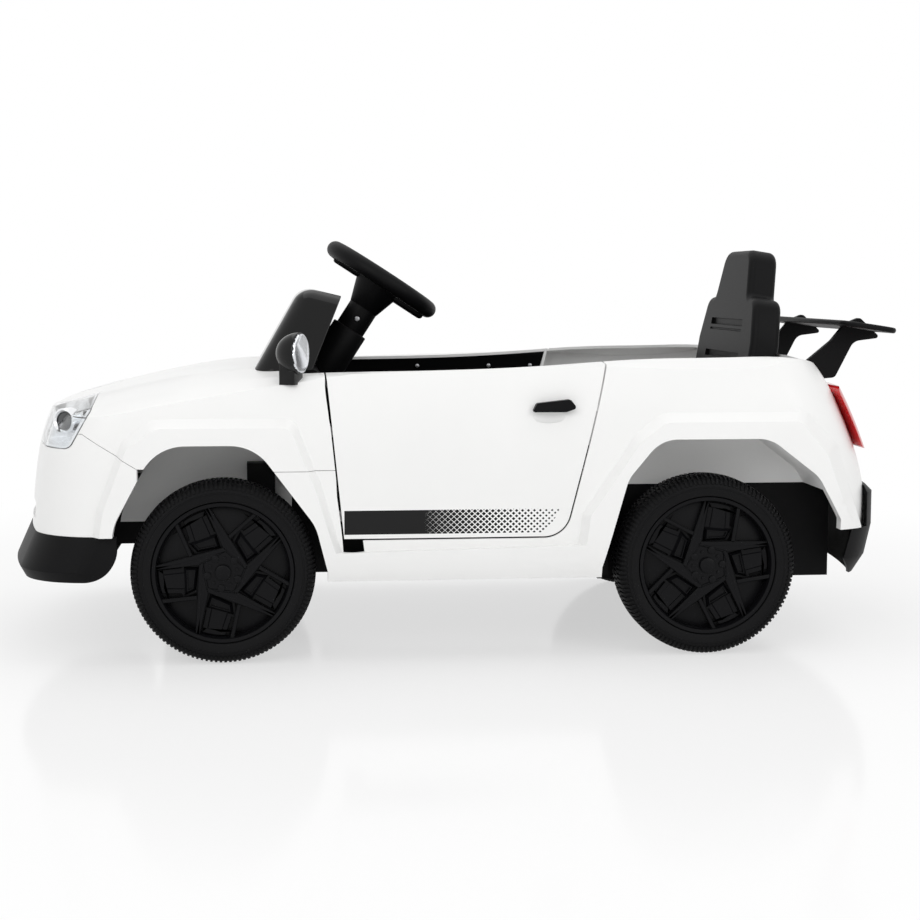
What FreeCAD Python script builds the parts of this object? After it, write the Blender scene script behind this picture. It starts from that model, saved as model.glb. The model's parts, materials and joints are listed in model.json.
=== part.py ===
"""Electric ride-on car for one child.

The nose points to -X, the car's left side to -Y and +Z is up. The origin is on the ground under the middle.
"""
import FreeCAD
import Part
import math
import os
from functools import lru_cache
from types import SimpleNamespace

Vector = FreeCAD.Vector
Y_AXIS = Vector(0, 1, 0)
Z_AXIS = Vector(0, 0, 1)

# Driving sizes, in millimetres and degrees.
SIZES = {
    # wheels and axles
    "wheel_r": 110, "wheel_width": 62, "wheel_outer_y": 283, "wheelbase": 585, "front_axle_x": -286,
    "rim_r": 84.5, "rim_wall": 6, "rim_lip": 3, "rim_face_depth": 7, "rim_face_thick": 9,
    "rim_hub_r": 20, "hub_lip": 1, "spokes": 5, "window_depth": 6, "window_inner_r": 41,
    "window_outer_r": 70, "window_inner_deg": 83, "window_from_deg": 66, "window_to_deg": 99,
    "window_corner_r": 2, "rear_window_turn": 50, "tyre_edge_r": 9, "axle_r": 5, "axle_cap_thick": 7,
    # clearances
    "running_clear": 0.05, "fit_clear": 0.1, "touch_clear": 0.3, "seam_gap": 0.6, "door_gap": 2,
    # body shell: levels from the sill up to above the belt line
    "wall": 4, "bow_r": 900, "nose_corner_r": 90, "tail_bow_r": 1200, "tail_corner_r": 80, "sill_z": 97,
    "sill_nose": -534, "sill_tail": 515, "sill_half": 264, "rocker_z": 130, "rocker_nose": -538,
    "rocker_tail": 527, "rocker_half": 273, "waist_z": 200, "waist_nose": -533, "waist_tail": 531,
    "waist_half": 277, "crease_z": 292, "crease_nose": -512, "crease_tail": 501, "crease_half": 275,
    "belt_z": 345, "belt_nose": -474, "belt_tail": 473, "belt_half": 260, "crown_z": 378,
    "crown_nose": -430, "crown_tail": 432, "crown_half": 244,
    # hood and deck line
    "hood_nose_z": 302, "hood_mid_z": 328, "hood_cowl_z": 348, "door_front_z": 347, "door_rear_z": 357,
    "deck_z": 361, "hood_bulge_y": 170, "hood_shoulder_y": 240, "deck_shoulder_y": 257,
    "body_edge_y": 290, "hood_drop": 12, "hood_edge_drop": 34, "deck_drop": 4, "deck_edge_drop": 20,
    # wheel arches and cladding
    "cladding_proud": 12, "cladding_taper": 0.055, "arch_top_z": 262, "arch_side_z": 165,
    "arch_corner_r": 56, "arch_fore": 128, "arch_fore_run": 52, "arch_aft": 124, "arch_aft_run": 86,
    "arch_lean": 14, "rear_arch_rise": 3, "rear_arch_fore": 130, "rear_arch_fore_run": 69,
    "rear_arch_aft": 164, "rear_arch_aft_run": 91, "rear_arch_corner_r": 42, "rear_arch_side_z": 218,
    "rear_arch_lean": 30, "flare_top_z": 292, "flare_fore": 158, "flare_aft": 140, "flare_fore_run": 76,
    "flare_aft_run": 54, "flare_lean": 24, "flare_corner_r": 34, "rear_flare_fore": 160,
    "rear_flare_aft": 186, "rear_flare_fore_run": 102, "rear_flare_aft_run": 68, "liner_wall": 3,
    "front_liner_z": 156, "bumper_z": 154, "tail_edge_z": 152, "cockpit_front_x": -200,
    "cockpit_rear_x": 424, "cockpit_half": 226, "seam_z": 231, "seam_lead": 98, "seam_run": 65,
    "seam_over_lamp": 18, "hood_lap": 60, "nose_depth": 40,
    # doors
    "door_bottom_z": 146, "door_front_x": -154, "door_lean": 10, "door_rear_x": 150,
    "door_rear_lean": 25, "door_corner_r": 34, "door_frame": 30, "door_trim_thick": 3, "door_rim": 4,
    "hinge_x": -142, "hinge_y": 264, "hinge_pin_r": 2.5, "hinge_knuckle_r": 6, "hinge_lug": 12,
    "hinge_low_z": 168, "hinge_high_z": 270, "hinge_knuckle": 18, "hinge_arm": 33, "hinge_pad": 11,
    "hinge_pad_proud": 4, "hinge_reach": 16, "lug_in": 5, "lug_thick": 6.5, "handle_x": 110,
    "handle_z": 306, "handle_length": 54, "handle_height": 15, "handle_proud": 8,
    # lamps and grille
    "lamp_low_z": 257, "lamp_high_z": 322, "lamp_rear_x": -439, "lamp_inner_y": 118, "lamp_lean": 25,
    "lamp_knee": 44, "lamp_corner_r": 13, "lens_thick": 3, "bowl_depth": 30, "tail_lamp_low_z": 247,
    "tail_lamp_high_z": 324, "tail_lamp_low_x": 503, "tail_lamp_high_x": 469, "tail_lamp_corner_r": 7,
    "tail_lamp_inner_y": 115, "tail_lens": 5, "tail_lens_proud": 13, "grille_half": 112,
    "grille_low_z": 196, "grille_high_z": 254, "intake_half": 188, "intake_low_z": 166,
    "intake_high_z": 186, "grille_thick": 3, "grille_bar": 7, "grille_lap": 6,
    # chin spoiler and rear bumper
    "lip_front_x": -557, "lip_low_z": 99, "lip_edge_z": 112, "lip_half": 278, "lip_rear_x": -410,
    "lip_end_r": 40, "lip_edge": 7, "lip_step": 3, "bumper_tail_x": 543, "bumper_low_z": 91,
    "bumper_top_z": 201, "bumper_front_x": 478, "bumper_wall": 6, "bumper_tuck": 22, "bumper_edge": 8,
    "bumper_notch": 29, "bumper_toe": 12, "bumper_corner_r": 6,
    # chassis tray
    "pan_wall": 4, "pan_nose_x": -430, "pan_nose_low_z": 128, "pan_front_x": -385,
    "pan_mid_front_x": -150, "pan_mid_rear_x": 184,
    "pan_rear_x": 478, "pan_front_half": 150, "pan_mid_half": 236, "pan_rear_half": 185,
    "pan_front_low_z": 88, "pan_low_z": 93, "pan_rear_low_z": 80, "pan_front_top_z": 185,
    "pan_top_z": 200, "pan_tail_top_z": 236, "pan_tail_x": 390, "flange_front": 14, "flange_rear": 40,
    "flange_rise": 6, "bearing_along": 330, "bearing_top_z": 213, "tower_depth": 24, "tower_drop": 32,
    "tower_lead": 27, "tower_length": 34, "slot_clear": 3, "boss_height": 40,
    # steering
    "kingpin_y": 205, "kingpin_r": 5, "knuckle_r": 10, "knuckle_height": 44, "bracket": 11,
    "bracket_r": 11, "steer_arm": 45, "arm_width": 18, "arm_thick": 6, "arm_z": 100, "tie_pin_r": 4,
    "tie_width": 18, "tie_thick": 6, "tie_open_clear": 0.6, "wheel_centre_x": -82,
    "wheel_centre_z": 457, "column_tilt": 33, "steer_ring_r": 73, "steer_grip_r": 11, "steer_hub_r": 30,
    "steer_hub_high": 26, "stem_r": 20, "stem_end": 84, "sleeve_r": 24.5, "sleeve_start": 78,
    "sleeve_clear": 0.6,
    "sleeve_end": 168, "rod_r": 5, "rod_end": 410, "crank_r": 4.5, "crank_pin_r": 4, "crank_clear": 1.6,
    "knuckle_share": 0.4, "spoke_width": 26, "spoke_thick": 12, "horn_r": 20, "horn_high": 8,
    "horn_travel": 2,
    # cowl, dashboard and mirrors
    "cowl_wall": 3, "cowl_base_front_x": -258, "cowl_base_rear_x": -184, "cowl_base_half": 206,
    "cowl_base_z": 330, "cowl_top_front_x": -190, "cowl_top_rear_x": -140, "cowl_top_half": 160,
    "cowl_top_z": 448, "cowl_fall": 12, "cowl_edge_r": 26, "dash_half": 196, "dash_top_z": 346,
    "dash_knee_z": 300,
    "dash_rear_x": -146, "dash_shelf": 28, "dash_edge_r": 10, "dash_wall": 12, "mirror_x": -203,
    "mirror_y": 264, "mirror_z": 369, "mirror_half_w": 21, "mirror_half_h": 25, "mirror_depth": 30,
    "mirror_rim": 2, "mirror_glass_thick": 3, "mirror_neck": 22, "mirror_neck_z": 332, "mirror_turn": 27,
    # seat
    "seat_front_x": 150, "seat_back_x": 359, "seat_rear_x": 422, "seat_half": 200, "seat_top_z": 215,
    "seat_plate": 4,
    "back_thick": 38, "back_half": 152, "back_lean": 9, "back_high_half": 147, "back_high_z": 380,
    "shoulder_half": 124, "shoulder_z": 436, "shoulder_r": 22, "neck_half": 88, "neck_z": 438, "neck_r": 12,
    "head_half": 66, "head_z": 500.5, "head_r": 26, "back_edge_r": 9, "back_wall": 10, "seat_pad_high": 3,
    "seat_pad_front": 52, "seat_pad_half": 150, "seat_pad_gap": 6, "screw_r": 4, "screw_head": 2,
    "screw_inset": 40, "screw_rear_x": 344, "screw_y": 174, "screw_in": 14,
    # rear wing
    "strut_y": 127, "strut_thick": 9, "strut_foot_x": 470, "strut_top_x": 524, "strut_top_z": 404,
    "strut_width": 30, "blade_half": 212, "blade_front_x": 492, "blade_tail_x": 557, "blade_z": 397,
    "blade_thick": 7, "blade_tilt": 9, "blade_front_r": 42, "blade_tail_r": 18,
    # drive and electrics
    "gearbox_length": 116, "gearbox_width": 26, "gearbox_height": 66, "gearbox_lead": 28,
    "gearbox_edge_r": 6, "gearbox_gap": 1, "motor_r": 18, "motor_length": 66, "motor_offset": 62,
    "motor_rise": 8, "battery_length": 66, "battery_width": 150, "battery_height": 94, "battery_x": 402,
    "box_length": 60, "box_width": 92, "box_height": 30, "box_x": 216, "socket_r": 2.75,
    "socket_depth": 10, "socket_flange": 2, "socket_body_r": 8, "socket_length": 14, "socket_y": 150,
    "socket_x": 168,
    # foot pedal and controls
    "pedal_x": -96, "pedal_y": 95, "pedal_length": 92, "pedal_width": 56, "pedal_thick": 6,
    "pedal_rise": 20, "pedal_pin_r": 3, "pedal_base_high": 10, "button_r": 9, "button_y": 96,
    "button_high": 6, "button_travel": 3, "switch_y": 96, "switch_width": 16, "switch_length": 26,
    "switch_pin_r": 2, "switch_pin_half": 13, "switch_pin_in": 2, "switch_proud": 4, "switch_in": 3,
    "switch_keel": 7, "switch_pocket": 10, "switch_clear": 2, "switch_edge_r": 1,
}


def make_sheet(document):
    """Writes every driving size to its own aliased cell and returns the sheet with its values."""
    sheet = document.addObject("Spreadsheet::Sheet", "Sizes")
    for row, (name, value) in enumerate(SIZES.items(), start=1):
        sheet.set("A%d" % row, name)
        sheet.set("B%d" % row, str(value))
        sheet.setAlias("B%d" % row, name)
    document.recompute()
    values = {name: float(sheet.get(name)) for name in SIZES}
    return sheet, SimpleNamespace(**values)


doc = FreeCAD.newDocument("RideOnCar")
sizes_sheet, d = make_sheet(doc)

REAR_AXLE_X = d.front_axle_x + d.wheelbase
FAR = 700
SIDES = {"left": -1, "right": 1}
SUB_PARTS = []


def sub_part(label, shape):
    """Adds a finished shape to the document under its node name."""
    feature = doc.addObject("Part::Feature", label)
    feature.Shape = shape.removeSplitter()
    feature.Label = label
    SUB_PARTS.append(feature)
    return feature


def named(feature, label):
    feature.Label = label
    SUB_PARTS.append(feature)
    return feature


def primitive(kind, name, sizes, position=Vector(), axis=Z_AXIS):
    """A Part primitive whose properties are bound to cells of the sheet."""
    feature = doc.addObject("Part::" + kind, name)
    for prop, expression in sizes.items():
        feature.setExpression(prop, expression)
    feature.Placement = FreeCAD.Placement(position, FreeCAD.Rotation(Z_AXIS, axis))
    return feature


def boolean(kind, name, base, tool):
    feature = doc.addObject("Part::" + kind, name)
    feature.Base = base
    feature.Tool = tool
    return feature


def padded_body(label, points, plane_role, length, placement):
    """A body padded from a closed sketch of straight lines; length is an expression."""
    body = doc.addObject("PartDesign::Body", label)
    plane = [f for f in body.Origin.OriginFeatures if f.Role == plane_role][0]
    sketch = body.newObject("Sketcher::SketchObject", label + "_outline")
    sketch.AttachmentSupport = [(plane, "")]
    sketch.MapMode = "FlatFace"
    ends = points[1:] + points[:1]
    for start, end in zip(points, ends):
        sketch.addGeometry(Part.LineSegment(Vector(start[0], start[1], 0), Vector(end[0], end[1], 0)))
    pad = body.newObject("PartDesign::Pad", label + "_pad")
    pad.Profile = sketch
    pad.setExpression("Length", length)
    pad.Midplane = True
    body.Placement = placement
    doc.recompute()
    return body


def box(x0, x1, y0, y1, z0, z1):
    return Part.makeBox(x1 - x0, y1 - y0, z1 - z0, Vector(x0, y0, z0))


def slab(x0, x1, half, z0, z1):
    """A box centred on the car's middle plane."""
    return box(x0, x1, -half, half, z0, z1)


def bar(start, end, radius):
    return Part.makeCylinder(radius, (end - start).Length, start, end - start)


def mirrored(shape):
    return shape.mirror(Vector(), Y_AXIS)


def largest(shape):
    """The main solid of a cut, without thin chips at its edges."""
    return max(shape.Solids, key=lambda solid: solid.Volume)


def on_side(shape, sign):
    """Shapes are drawn for the left side (-Y) and mirrored for the right."""
    return shape if sign < 0 else mirrored(shape)


def outline(corners, y, scale=1.0, about=(0, 0)):
    """A closed wire at that y: straight runs with a tangent arc at each corner (x, z, radius)."""
    points = [(about[0] + (c[0] - about[0]) * scale, about[1] + (c[1] - about[1]) * scale) for c in corners]
    radii = [c[2] if len(c) > 2 else 0 for c in corners]
    edges = []
    first = last = None
    for i, point in enumerate(points):
        here = Vector(point[0], y, point[1])
        before = Vector(points[i - 1][0], y, points[i - 1][1]) - here
        after_point = points[(i + 1) % len(points)]
        after = Vector(after_point[0], y, after_point[1]) - here
        half_angle = before.getAngle(after) / 2
        reach = radii[i] / math.tan(half_angle)
        entry = here + before.normalize() * reach
        leave = here + after.normalize() * reach
        if last is not None and (entry - last).Length > 1e-6:
            edges.append(Part.LineSegment(last, entry).toShape())
        if radii[i]:
            middle = before + after
            middle.normalize()
            top = here + middle * (radii[i] / math.sin(half_angle) - radii[i])
            edges.append(Part.Arc(entry, top, leave).toShape())
        if first is None:
            first = entry
        last = leave
    if (first - last).Length > 1e-6:
        edges.append(Part.LineSegment(last, first).toShape())
    return Part.Wire(edges)


def prism(corners, y0, y1, inset=0.0):
    """An outline in XZ drawn across from y0 to y1, drawn in by inset."""
    face = Part.Face(outline(corners, y0))
    if inset:
        face = Part.Face(face.OuterWire.makeOffset2D(-inset))
    return face.extrude(Vector(0, y1 - y0, 0))


def frustum(corners, y0, scale0, y1, scale1, about):
    """An outline in XZ that shrinks about a point on its way from y0 to y1."""
    wires = [outline(corners, y0, scale0, about), outline(corners, y1, scale1, about)]
    return Part.makeLoft(wires, True, True)


def plan_outline(nose, tail, half, z, inset=0.0):
    """A level section of the body: bowed ends, rounded corners, straight sides."""
    nose, tail, half = nose + inset, tail - inset, half - inset
    ends = []
    for x, bow, corner, way in ((nose, d.bow_r, d.nose_corner_r, 1),
                                (tail, d.tail_bow_r, d.tail_corner_r, -1)):
        bow, corner = bow - inset, corner - inset
        centre = Vector(x + way * bow, 0, z)
        corner_y = half - corner
        corner_x = x + way * (bow - math.sqrt((bow - corner) ** 2 - corner_y ** 2))
        corner_centre = Vector(corner_x, -corner_y, z)
        outward = (corner_centre - centre).normalize()
        meet = centre + outward * bow
        bend = (outward + Vector(0, -1, 0)).normalize()
        ends.append((Vector(x, 0, z), meet, corner_centre + bend * corner, Vector(corner_x, -half, z)))
    (n_tip, n_meet, n_bend, n_side), (t_tip, t_meet, t_bend, t_side) = ends

    def across(point):
        return Vector(point.x, -point.y, point.z)

    curves = [Part.Arc(across(n_meet), n_tip, n_meet), Part.Arc(n_meet, n_bend, n_side),
              Part.LineSegment(n_side, t_side), Part.Arc(t_side, t_bend, t_meet),
              Part.Arc(t_meet, t_tip, across(t_meet)),
              Part.Arc(across(t_meet), across(t_bend), across(t_side)),
              Part.LineSegment(across(t_side), across(n_side)),
              Part.Arc(across(n_side), across(n_bend), across(n_meet))]
    return Part.Wire([curve.toShape() for curve in curves])


def roof_section(x, z, shoulder_y, drop, edge_drop):
    edge_y = d.body_edge_y + d.wall
    points = [(-edge_y, 0), (edge_y, 0), (edge_y, z - edge_drop), (shoulder_y, z - drop), (d.hood_bulge_y, z),
              (-d.hood_bulge_y, z), (-shoulder_y, z - drop), (-edge_y, z - edge_drop)]
    return Part.makePolygon([Vector(x, y, h) for y, h in points + points[:1]])


@lru_cache(maxsize=None)
def roof(inset=0.0):
    """Everything under the hood and deck line."""
    hood = (d.hood_shoulder_y, d.hood_drop, d.hood_edge_drop)
    deck = (d.deck_shoulder_y, d.deck_drop, d.deck_edge_drop)
    nose_x = d.crease_nose + (d.belt_nose - d.crease_nose) / 2
    stations = [
        (d.lip_front_x - d.wall, d.hood_nose_z - (d.hood_mid_z - d.hood_nose_z), hood),
        (nose_x, d.hood_nose_z, hood),
        ((nose_x + d.front_axle_x) / 2, d.hood_mid_z, hood),
        (d.cowl_base_front_x, d.hood_cowl_z, hood),
        (d.door_front_x, d.door_front_z, deck),
        (d.door_rear_x, d.door_rear_z, deck),
        (d.cockpit_rear_x, d.deck_z, deck),
        (d.blade_tail_x, d.deck_z, deck),
    ]
    return Part.makeLoft([roof_section(x, z - inset, *edge) for x, z, edge in stations], True, False)


LEVEL_NAMES = ("sill", "rocker", "waist", "crease", "belt", "crown")


@lru_cache(maxsize=None)
def flank(inset=0.0):
    """The body's sides and ends up to the crown level, before the hood and deck line cut them."""
    wires = []
    for name in LEVEL_NAMES:
        z, nose, tail, half = [getattr(d, name + end) for end in ("_z", "_nose", "_tail", "_half")]
        wires.append(plan_outline(nose, tail, half, z, inset))
    return Part.makeLoft(wires, True, False)


@lru_cache(maxsize=None)
def hull(inset=0.0, floor=None):
    """The closed outer form of the body, or that form drawn in by a wall."""
    body = flank(inset)
    if floor is not None:
        bottom = Part.Face(plan_outline(d.sill_nose, d.sill_tail, d.sill_half, d.sill_z, inset))
        body = body.fuse(bottom.extrude(Vector(0, 0, floor - d.sill_z)))
    return body.common(roof(inset))


OUTER = hull()
# the left door's hinge leans with the front edge of the door, about a point at the middle of that edge
HINGE_AT = Vector(d.hinge_x, -d.hinge_y, (d.belt_z + d.door_bottom_z) / 2)
HINGE_LEAN = math.degrees(math.atan(2 * d.door_lean / (d.belt_z - d.door_bottom_z)))


def skin(depth, thickness):
    """A layer of the body's form, from depth to depth plus thickness under its surface."""
    top = OUTER if depth == 0 else hull(depth)
    return top.cut(hull(depth + thickness, floor=0))


def front_arch():
    fore = d.front_axle_x - d.arch_fore
    aft = d.front_axle_x + d.arch_aft
    top, side, r = d.arch_top_z, d.arch_side_z, d.arch_corner_r
    return [(fore, 0), (fore, side, r), (fore + d.arch_fore_run, top, r), (aft - d.arch_aft_run, top, r),
            (aft - d.arch_lean, side, r), (aft, side - r), (aft, 0)]


def rear_arch():
    fore = REAR_AXLE_X - d.rear_arch_fore
    aft = REAR_AXLE_X + d.rear_arch_aft
    top, side, r = d.arch_top_z + d.rear_arch_rise, d.rear_arch_side_z, d.rear_arch_corner_r
    return [(fore, 0), (fore, d.wheel_r), (fore + d.rear_arch_lean, side, r),
            (fore + d.rear_arch_fore_run, top, r), (aft - d.rear_arch_aft_run, top, r),
            (aft - d.rear_arch_lean, side, r), (aft, d.arch_side_z), (aft, 0)]


def front_flare():
    fore = d.front_axle_x - d.flare_fore
    aft = d.front_axle_x + d.flare_aft
    top, r = d.flare_top_z, d.flare_corner_r
    return [(fore, d.sill_z), (fore + d.flare_lean / 2, d.arch_side_z + d.flare_lean, r),
            (fore + 1.7 * d.flare_lean, top - d.flare_lean, r * 0.7), (fore + d.flare_fore_run, top, r),
            (aft - d.flare_aft_run, top, r / 2), (aft - d.flare_lean, d.rear_arch_side_z, r),
            (aft, d.rocker_z), (aft, d.sill_z)]


def rear_flare():
    fore = REAR_AXLE_X - d.rear_flare_fore
    aft = REAR_AXLE_X + d.rear_flare_aft
    top, r = d.flare_top_z + d.rear_arch_rise, d.flare_corner_r
    return [(fore, d.sill_z), (fore + d.flare_lean / 4, d.waist_z - d.flare_lean, r / 2),
            (fore + d.rear_flare_fore_run - r, top - d.flare_lean, r), (fore + d.rear_flare_fore_run, top, r),
            (aft - d.rear_flare_aft_run, top, r / 2), (aft - r, top - d.flare_lean - r / 2, r),
            (aft, d.tail_edge_z), (aft, d.sill_z)]


def rocker_band():
    fore = d.front_axle_x + d.arch_aft
    aft = REAR_AXLE_X - d.rear_arch_fore
    return [(fore, d.sill_z - d.wall), (fore, d.rocker_z + d.wall / 2), (aft, d.rocker_z + 2 * d.wall),
            (aft, d.sill_z - d.wall)]


def cladding():
    """Raised bands round the arches and along the sill, left side."""
    inner_y = -d.sill_half
    outer_y = -d.waist_half - 2 * d.cladding_proud
    wide, narrow = 1 + d.cladding_taper, 1 - 2 * d.cladding_taper
    bands = []
    for corners, x in ((front_flare(), d.front_axle_x), (rear_flare(), REAR_AXLE_X)):
        bands.append(frustum(corners, inner_y, wide, outer_y, narrow, (x, d.wheel_r)))
    bands.append(prism(rocker_band(), inner_y, outer_y))
    above_sill = slab(-FAR, FAR, FAR, d.sill_z, FAR)
    return bands[0].fuse(bands[1:]).common(hull(-d.cladding_proud)).common(above_sill)


def wheel_liner(corners, inner_y, low_z):
    """Inner skin over a left wheel: the arch outline carried inwards, closed by a wall on the inside."""
    grown = Part.Face(outline(corners, -inner_y).makeOffset2D(d.liner_wall))
    block = grown.extrude(Vector(0, -FAR, 0))
    block = block.cut(prism(corners, -inner_y - d.liner_wall, -FAR))
    return block.common(hull(d.wall / 2)).common(slab(-FAR, FAR, FAR, low_z, FAR))


def door_outline():
    """The left door's opening: leaning front and rear edges that run on above the belt line."""
    low = d.door_bottom_z
    half_height = (d.belt_z - low) / 2
    high = low + FAR / 2
    rise = (high - low - half_height) / half_height
    front_low, front_high = d.door_front_x + d.door_lean, d.door_front_x - d.door_lean * rise
    rear_low, rear_high = d.door_rear_x - d.door_rear_lean, d.door_rear_x + d.door_rear_lean * rise
    return [(front_low, low), (rear_low, low, d.door_corner_r), (rear_high, high), (front_high, high)]


def lamp_outline():
    knee_x = d.lamp_rear_x - d.lamp_lean
    over = d.lamp_high_z + d.bowl_depth
    return [(-FAR, d.lamp_low_z), (knee_x, d.lamp_low_z, d.lamp_corner_r),
            (d.lamp_rear_x, d.lamp_low_z + d.lamp_knee, d.lamp_corner_r), (d.lamp_rear_x, over), (-FAR, over)]


def tail_lamp_outline():
    r = d.tail_lamp_corner_r
    return [(d.tail_lamp_low_x, d.tail_lamp_low_z, r), (d.tail_lamp_high_x, d.tail_lamp_high_z, r),
            (FAR, d.tail_lamp_high_z), (FAR, d.tail_lamp_low_z)]


def side_cut(corners, inner_y, inset=0.0):
    """A prism through the left flank and its mirror image."""
    left = prism(corners, -FAR, -inner_y, inset)
    return left.fuse(mirrored(left))


def on_hinge(shape):
    """Leans a shape drawn about an upright hinge."""
    return shape.rotated(HINGE_AT, Y_AXIS, -HINGE_LEAN)


def hinge_lug(low_z):
    """A lug that holds a hinge pin's end: its arm runs inside the swinging door's edge to a pad on the wing."""
    axis_point = Vector(d.hinge_x, -d.hinge_y, low_z)
    eye = Part.makeCylinder(d.hinge_knuckle_r, d.hinge_lug, axis_point)
    far_x = d.hinge_x - d.hinge_arm
    outer_y = -d.hinge_y - d.hinge_knuckle_r - d.hinge_pad_proud
    arm_y = -d.hinge_y + d.lug_in
    arm = box(far_x, d.hinge_x, arm_y, arm_y + d.lug_thick, low_z, low_z + d.hinge_lug)
    arm = arm.fuse(box(d.hinge_x - d.hinge_knuckle_r, d.hinge_x + d.hinge_knuckle_r, -d.hinge_y,
                       arm_y + d.lug_thick, low_z, low_z + d.hinge_lug))
    pad = box(far_x, far_x + d.hinge_pad, outer_y, arm_y + d.lug_thick, low_z, low_z + d.hinge_lug)
    hole = Part.makeCylinder(d.hinge_pin_r + d.fit_clear, d.hinge_lug, axis_point)
    return on_hinge(eye.fuse([arm, pad]).cut(hole))


def door_path():
    """The round the left door's front edge makes about its hinge, to be kept clear inside the body's edge."""
    lead = d.hinge_x - d.door_front_x - d.door_gap
    profile = [(0, d.rocker_z), (0, d.belt_z)]
    for z, half in ((d.belt_z, d.belt_half), (d.crease_z, d.crease_half), (d.waist_z, d.waist_half),
                    (d.rocker_z, d.rocker_half)):
        profile.append((math.hypot(lead, max(half - d.hinge_y, 0)) + d.door_gap, z))
    points = [Vector(HINGE_AT.x + r, HINGE_AT.y, z) for r, z in profile]
    face = Part.Face(Part.makePolygon(points + points[:1]))
    return on_hinge(face.revolve(HINGE_AT, Z_AXIS, 360))


def body_shells():
    """Hood, nose and main shell are one form, cut at their seams."""
    left = cladding()
    form = OUTER.fuse([left, mirrored(left)])
    shell = form.cut(hull(d.wall, floor=0))
    shell = shell.cut(side_cut(front_arch(), d.pan_front_half))
    shell = shell.cut(side_cut(rear_arch(), d.pan_front_half))
    shell = shell.cut(side_cut(door_outline(), d.cockpit_half - d.door_frame))
    shell = shell.cut([door_path(), mirrored(door_path())])
    shell = shell.cut(slab(d.cockpit_front_x, d.cockpit_rear_x, d.cockpit_half, 0, FAR))
    shell = shell.cut(side_cut(lamp_outline(), d.lamp_inner_y))
    shell = shell.cut(side_cut(tail_lamp_outline(), d.tail_lamp_inner_y))
    shell = shell.cut(slab(-FAR, d.front_axle_x, FAR, 0, d.bumper_z))
    notch_x = d.bumper_front_x + d.bumper_notch
    tail_start = REAR_AXLE_X + d.rear_arch_fore
    tail_low = [(tail_start, 0), (tail_start, d.tail_edge_z), (notch_x, d.tail_edge_z),
                (notch_x, d.bumper_top_z), (FAR, d.bumper_top_z), (FAR, 0)]
    shell = shell.cut(prism(tail_low, -FAR, FAR))
    nose_in = d.crease_nose + d.nose_depth
    shell = shell.cut(slab(-FAR, nose_in, d.grille_half, d.grille_low_z, d.grille_high_z))
    shell = shell.cut(slab(-FAR, nose_in, d.intake_half, d.intake_low_z, d.intake_high_z))
    seam_x = d.front_axle_x - d.seam_lead
    seam_top_x = seam_x - d.seam_run
    seam_high = d.seam_z + d.wall
    nose_top = d.lamp_low_z + d.seam_over_lamp
    hood_rear = d.door_front_x + d.hood_lap
    nose = [(-FAR, 0), (seam_x, 0), (seam_x, seam_high), (seam_top_x, nose_top), (-FAR, nose_top)]
    hood_low = nose_top + d.seam_gap
    wing = [(-FAR, hood_low), (seam_top_x, hood_low), (seam_x, seam_high + d.seam_gap),
            (d.front_axle_x, d.seam_z), (hood_rear, d.seam_z), (hood_rear, FAR), (-FAR, FAR)]
    bumper = shell.common(prism(nose, -FAR, FAR))
    hood = shell.common(prism(wing, -FAR, FAR))
    upper = box(-FAR, hood_rear, -FAR, FAR, d.seam_z - d.seam_gap, FAR)
    ahead = box(-FAR, d.front_axle_x, -FAR, FAR, 0, FAR)
    main = shell.cut(upper).cut(ahead)
    inner_y = d.pan_front_half + d.touch_clear
    front_liner = wheel_liner(front_arch(), inner_y, d.front_liner_z)
    inner_wall = front_liner.common(box(-FAR, d.cockpit_front_x - d.wall, -inner_y - d.liner_wall, 0, 0, FAR))
    front_liner = front_liner.common(prism(wing, -FAR, FAR)).fuse(inner_wall.cut(shock_tower(d.touch_clear)))
    rear_liner = wheel_liner(rear_arch(), d.pan_rear_half + d.touch_clear, d.pan_top_z + d.touch_clear)
    for left_piece in (hinge_lug(d.hinge_high_z), front_liner):
        hood = hood.fuse([left_piece, mirrored(left_piece)])
    for left_piece in (hinge_lug(d.hinge_low_z), rear_liner):
        main = main.fuse([left_piece, mirrored(left_piece)])
    sub_part("hood_cover", hood)
    sub_part("front_bumper", bumper)
    sub_part("main_body", main)


def grille():
    plate = skin(d.wall + d.touch_clear, d.grille_thick)
    nose_in = d.crease_nose + d.nose_depth
    split_z = d.grille_low_z - d.grille_lap
    upper = slab(-FAR, nose_in, d.grille_half + d.grille_lap, split_z, d.grille_high_z + d.grille_lap)
    lower = slab(-FAR, nose_in, d.intake_half + d.grille_lap, d.intake_low_z - d.grille_lap, split_z)
    insert = plate.common(upper.fuse(lower))
    pitch = 2 * d.grille_bar
    rows = int((d.grille_high_z - d.grille_low_z - d.grille_bar) // pitch)
    for row in range(rows):
        z = d.grille_low_z + d.grille_bar + row * pitch
        insert = insert.cut(slab(-FAR, 0, d.grille_half - d.grille_bar, z, z + d.grille_bar))
    sub_part("grille", insert)


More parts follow.
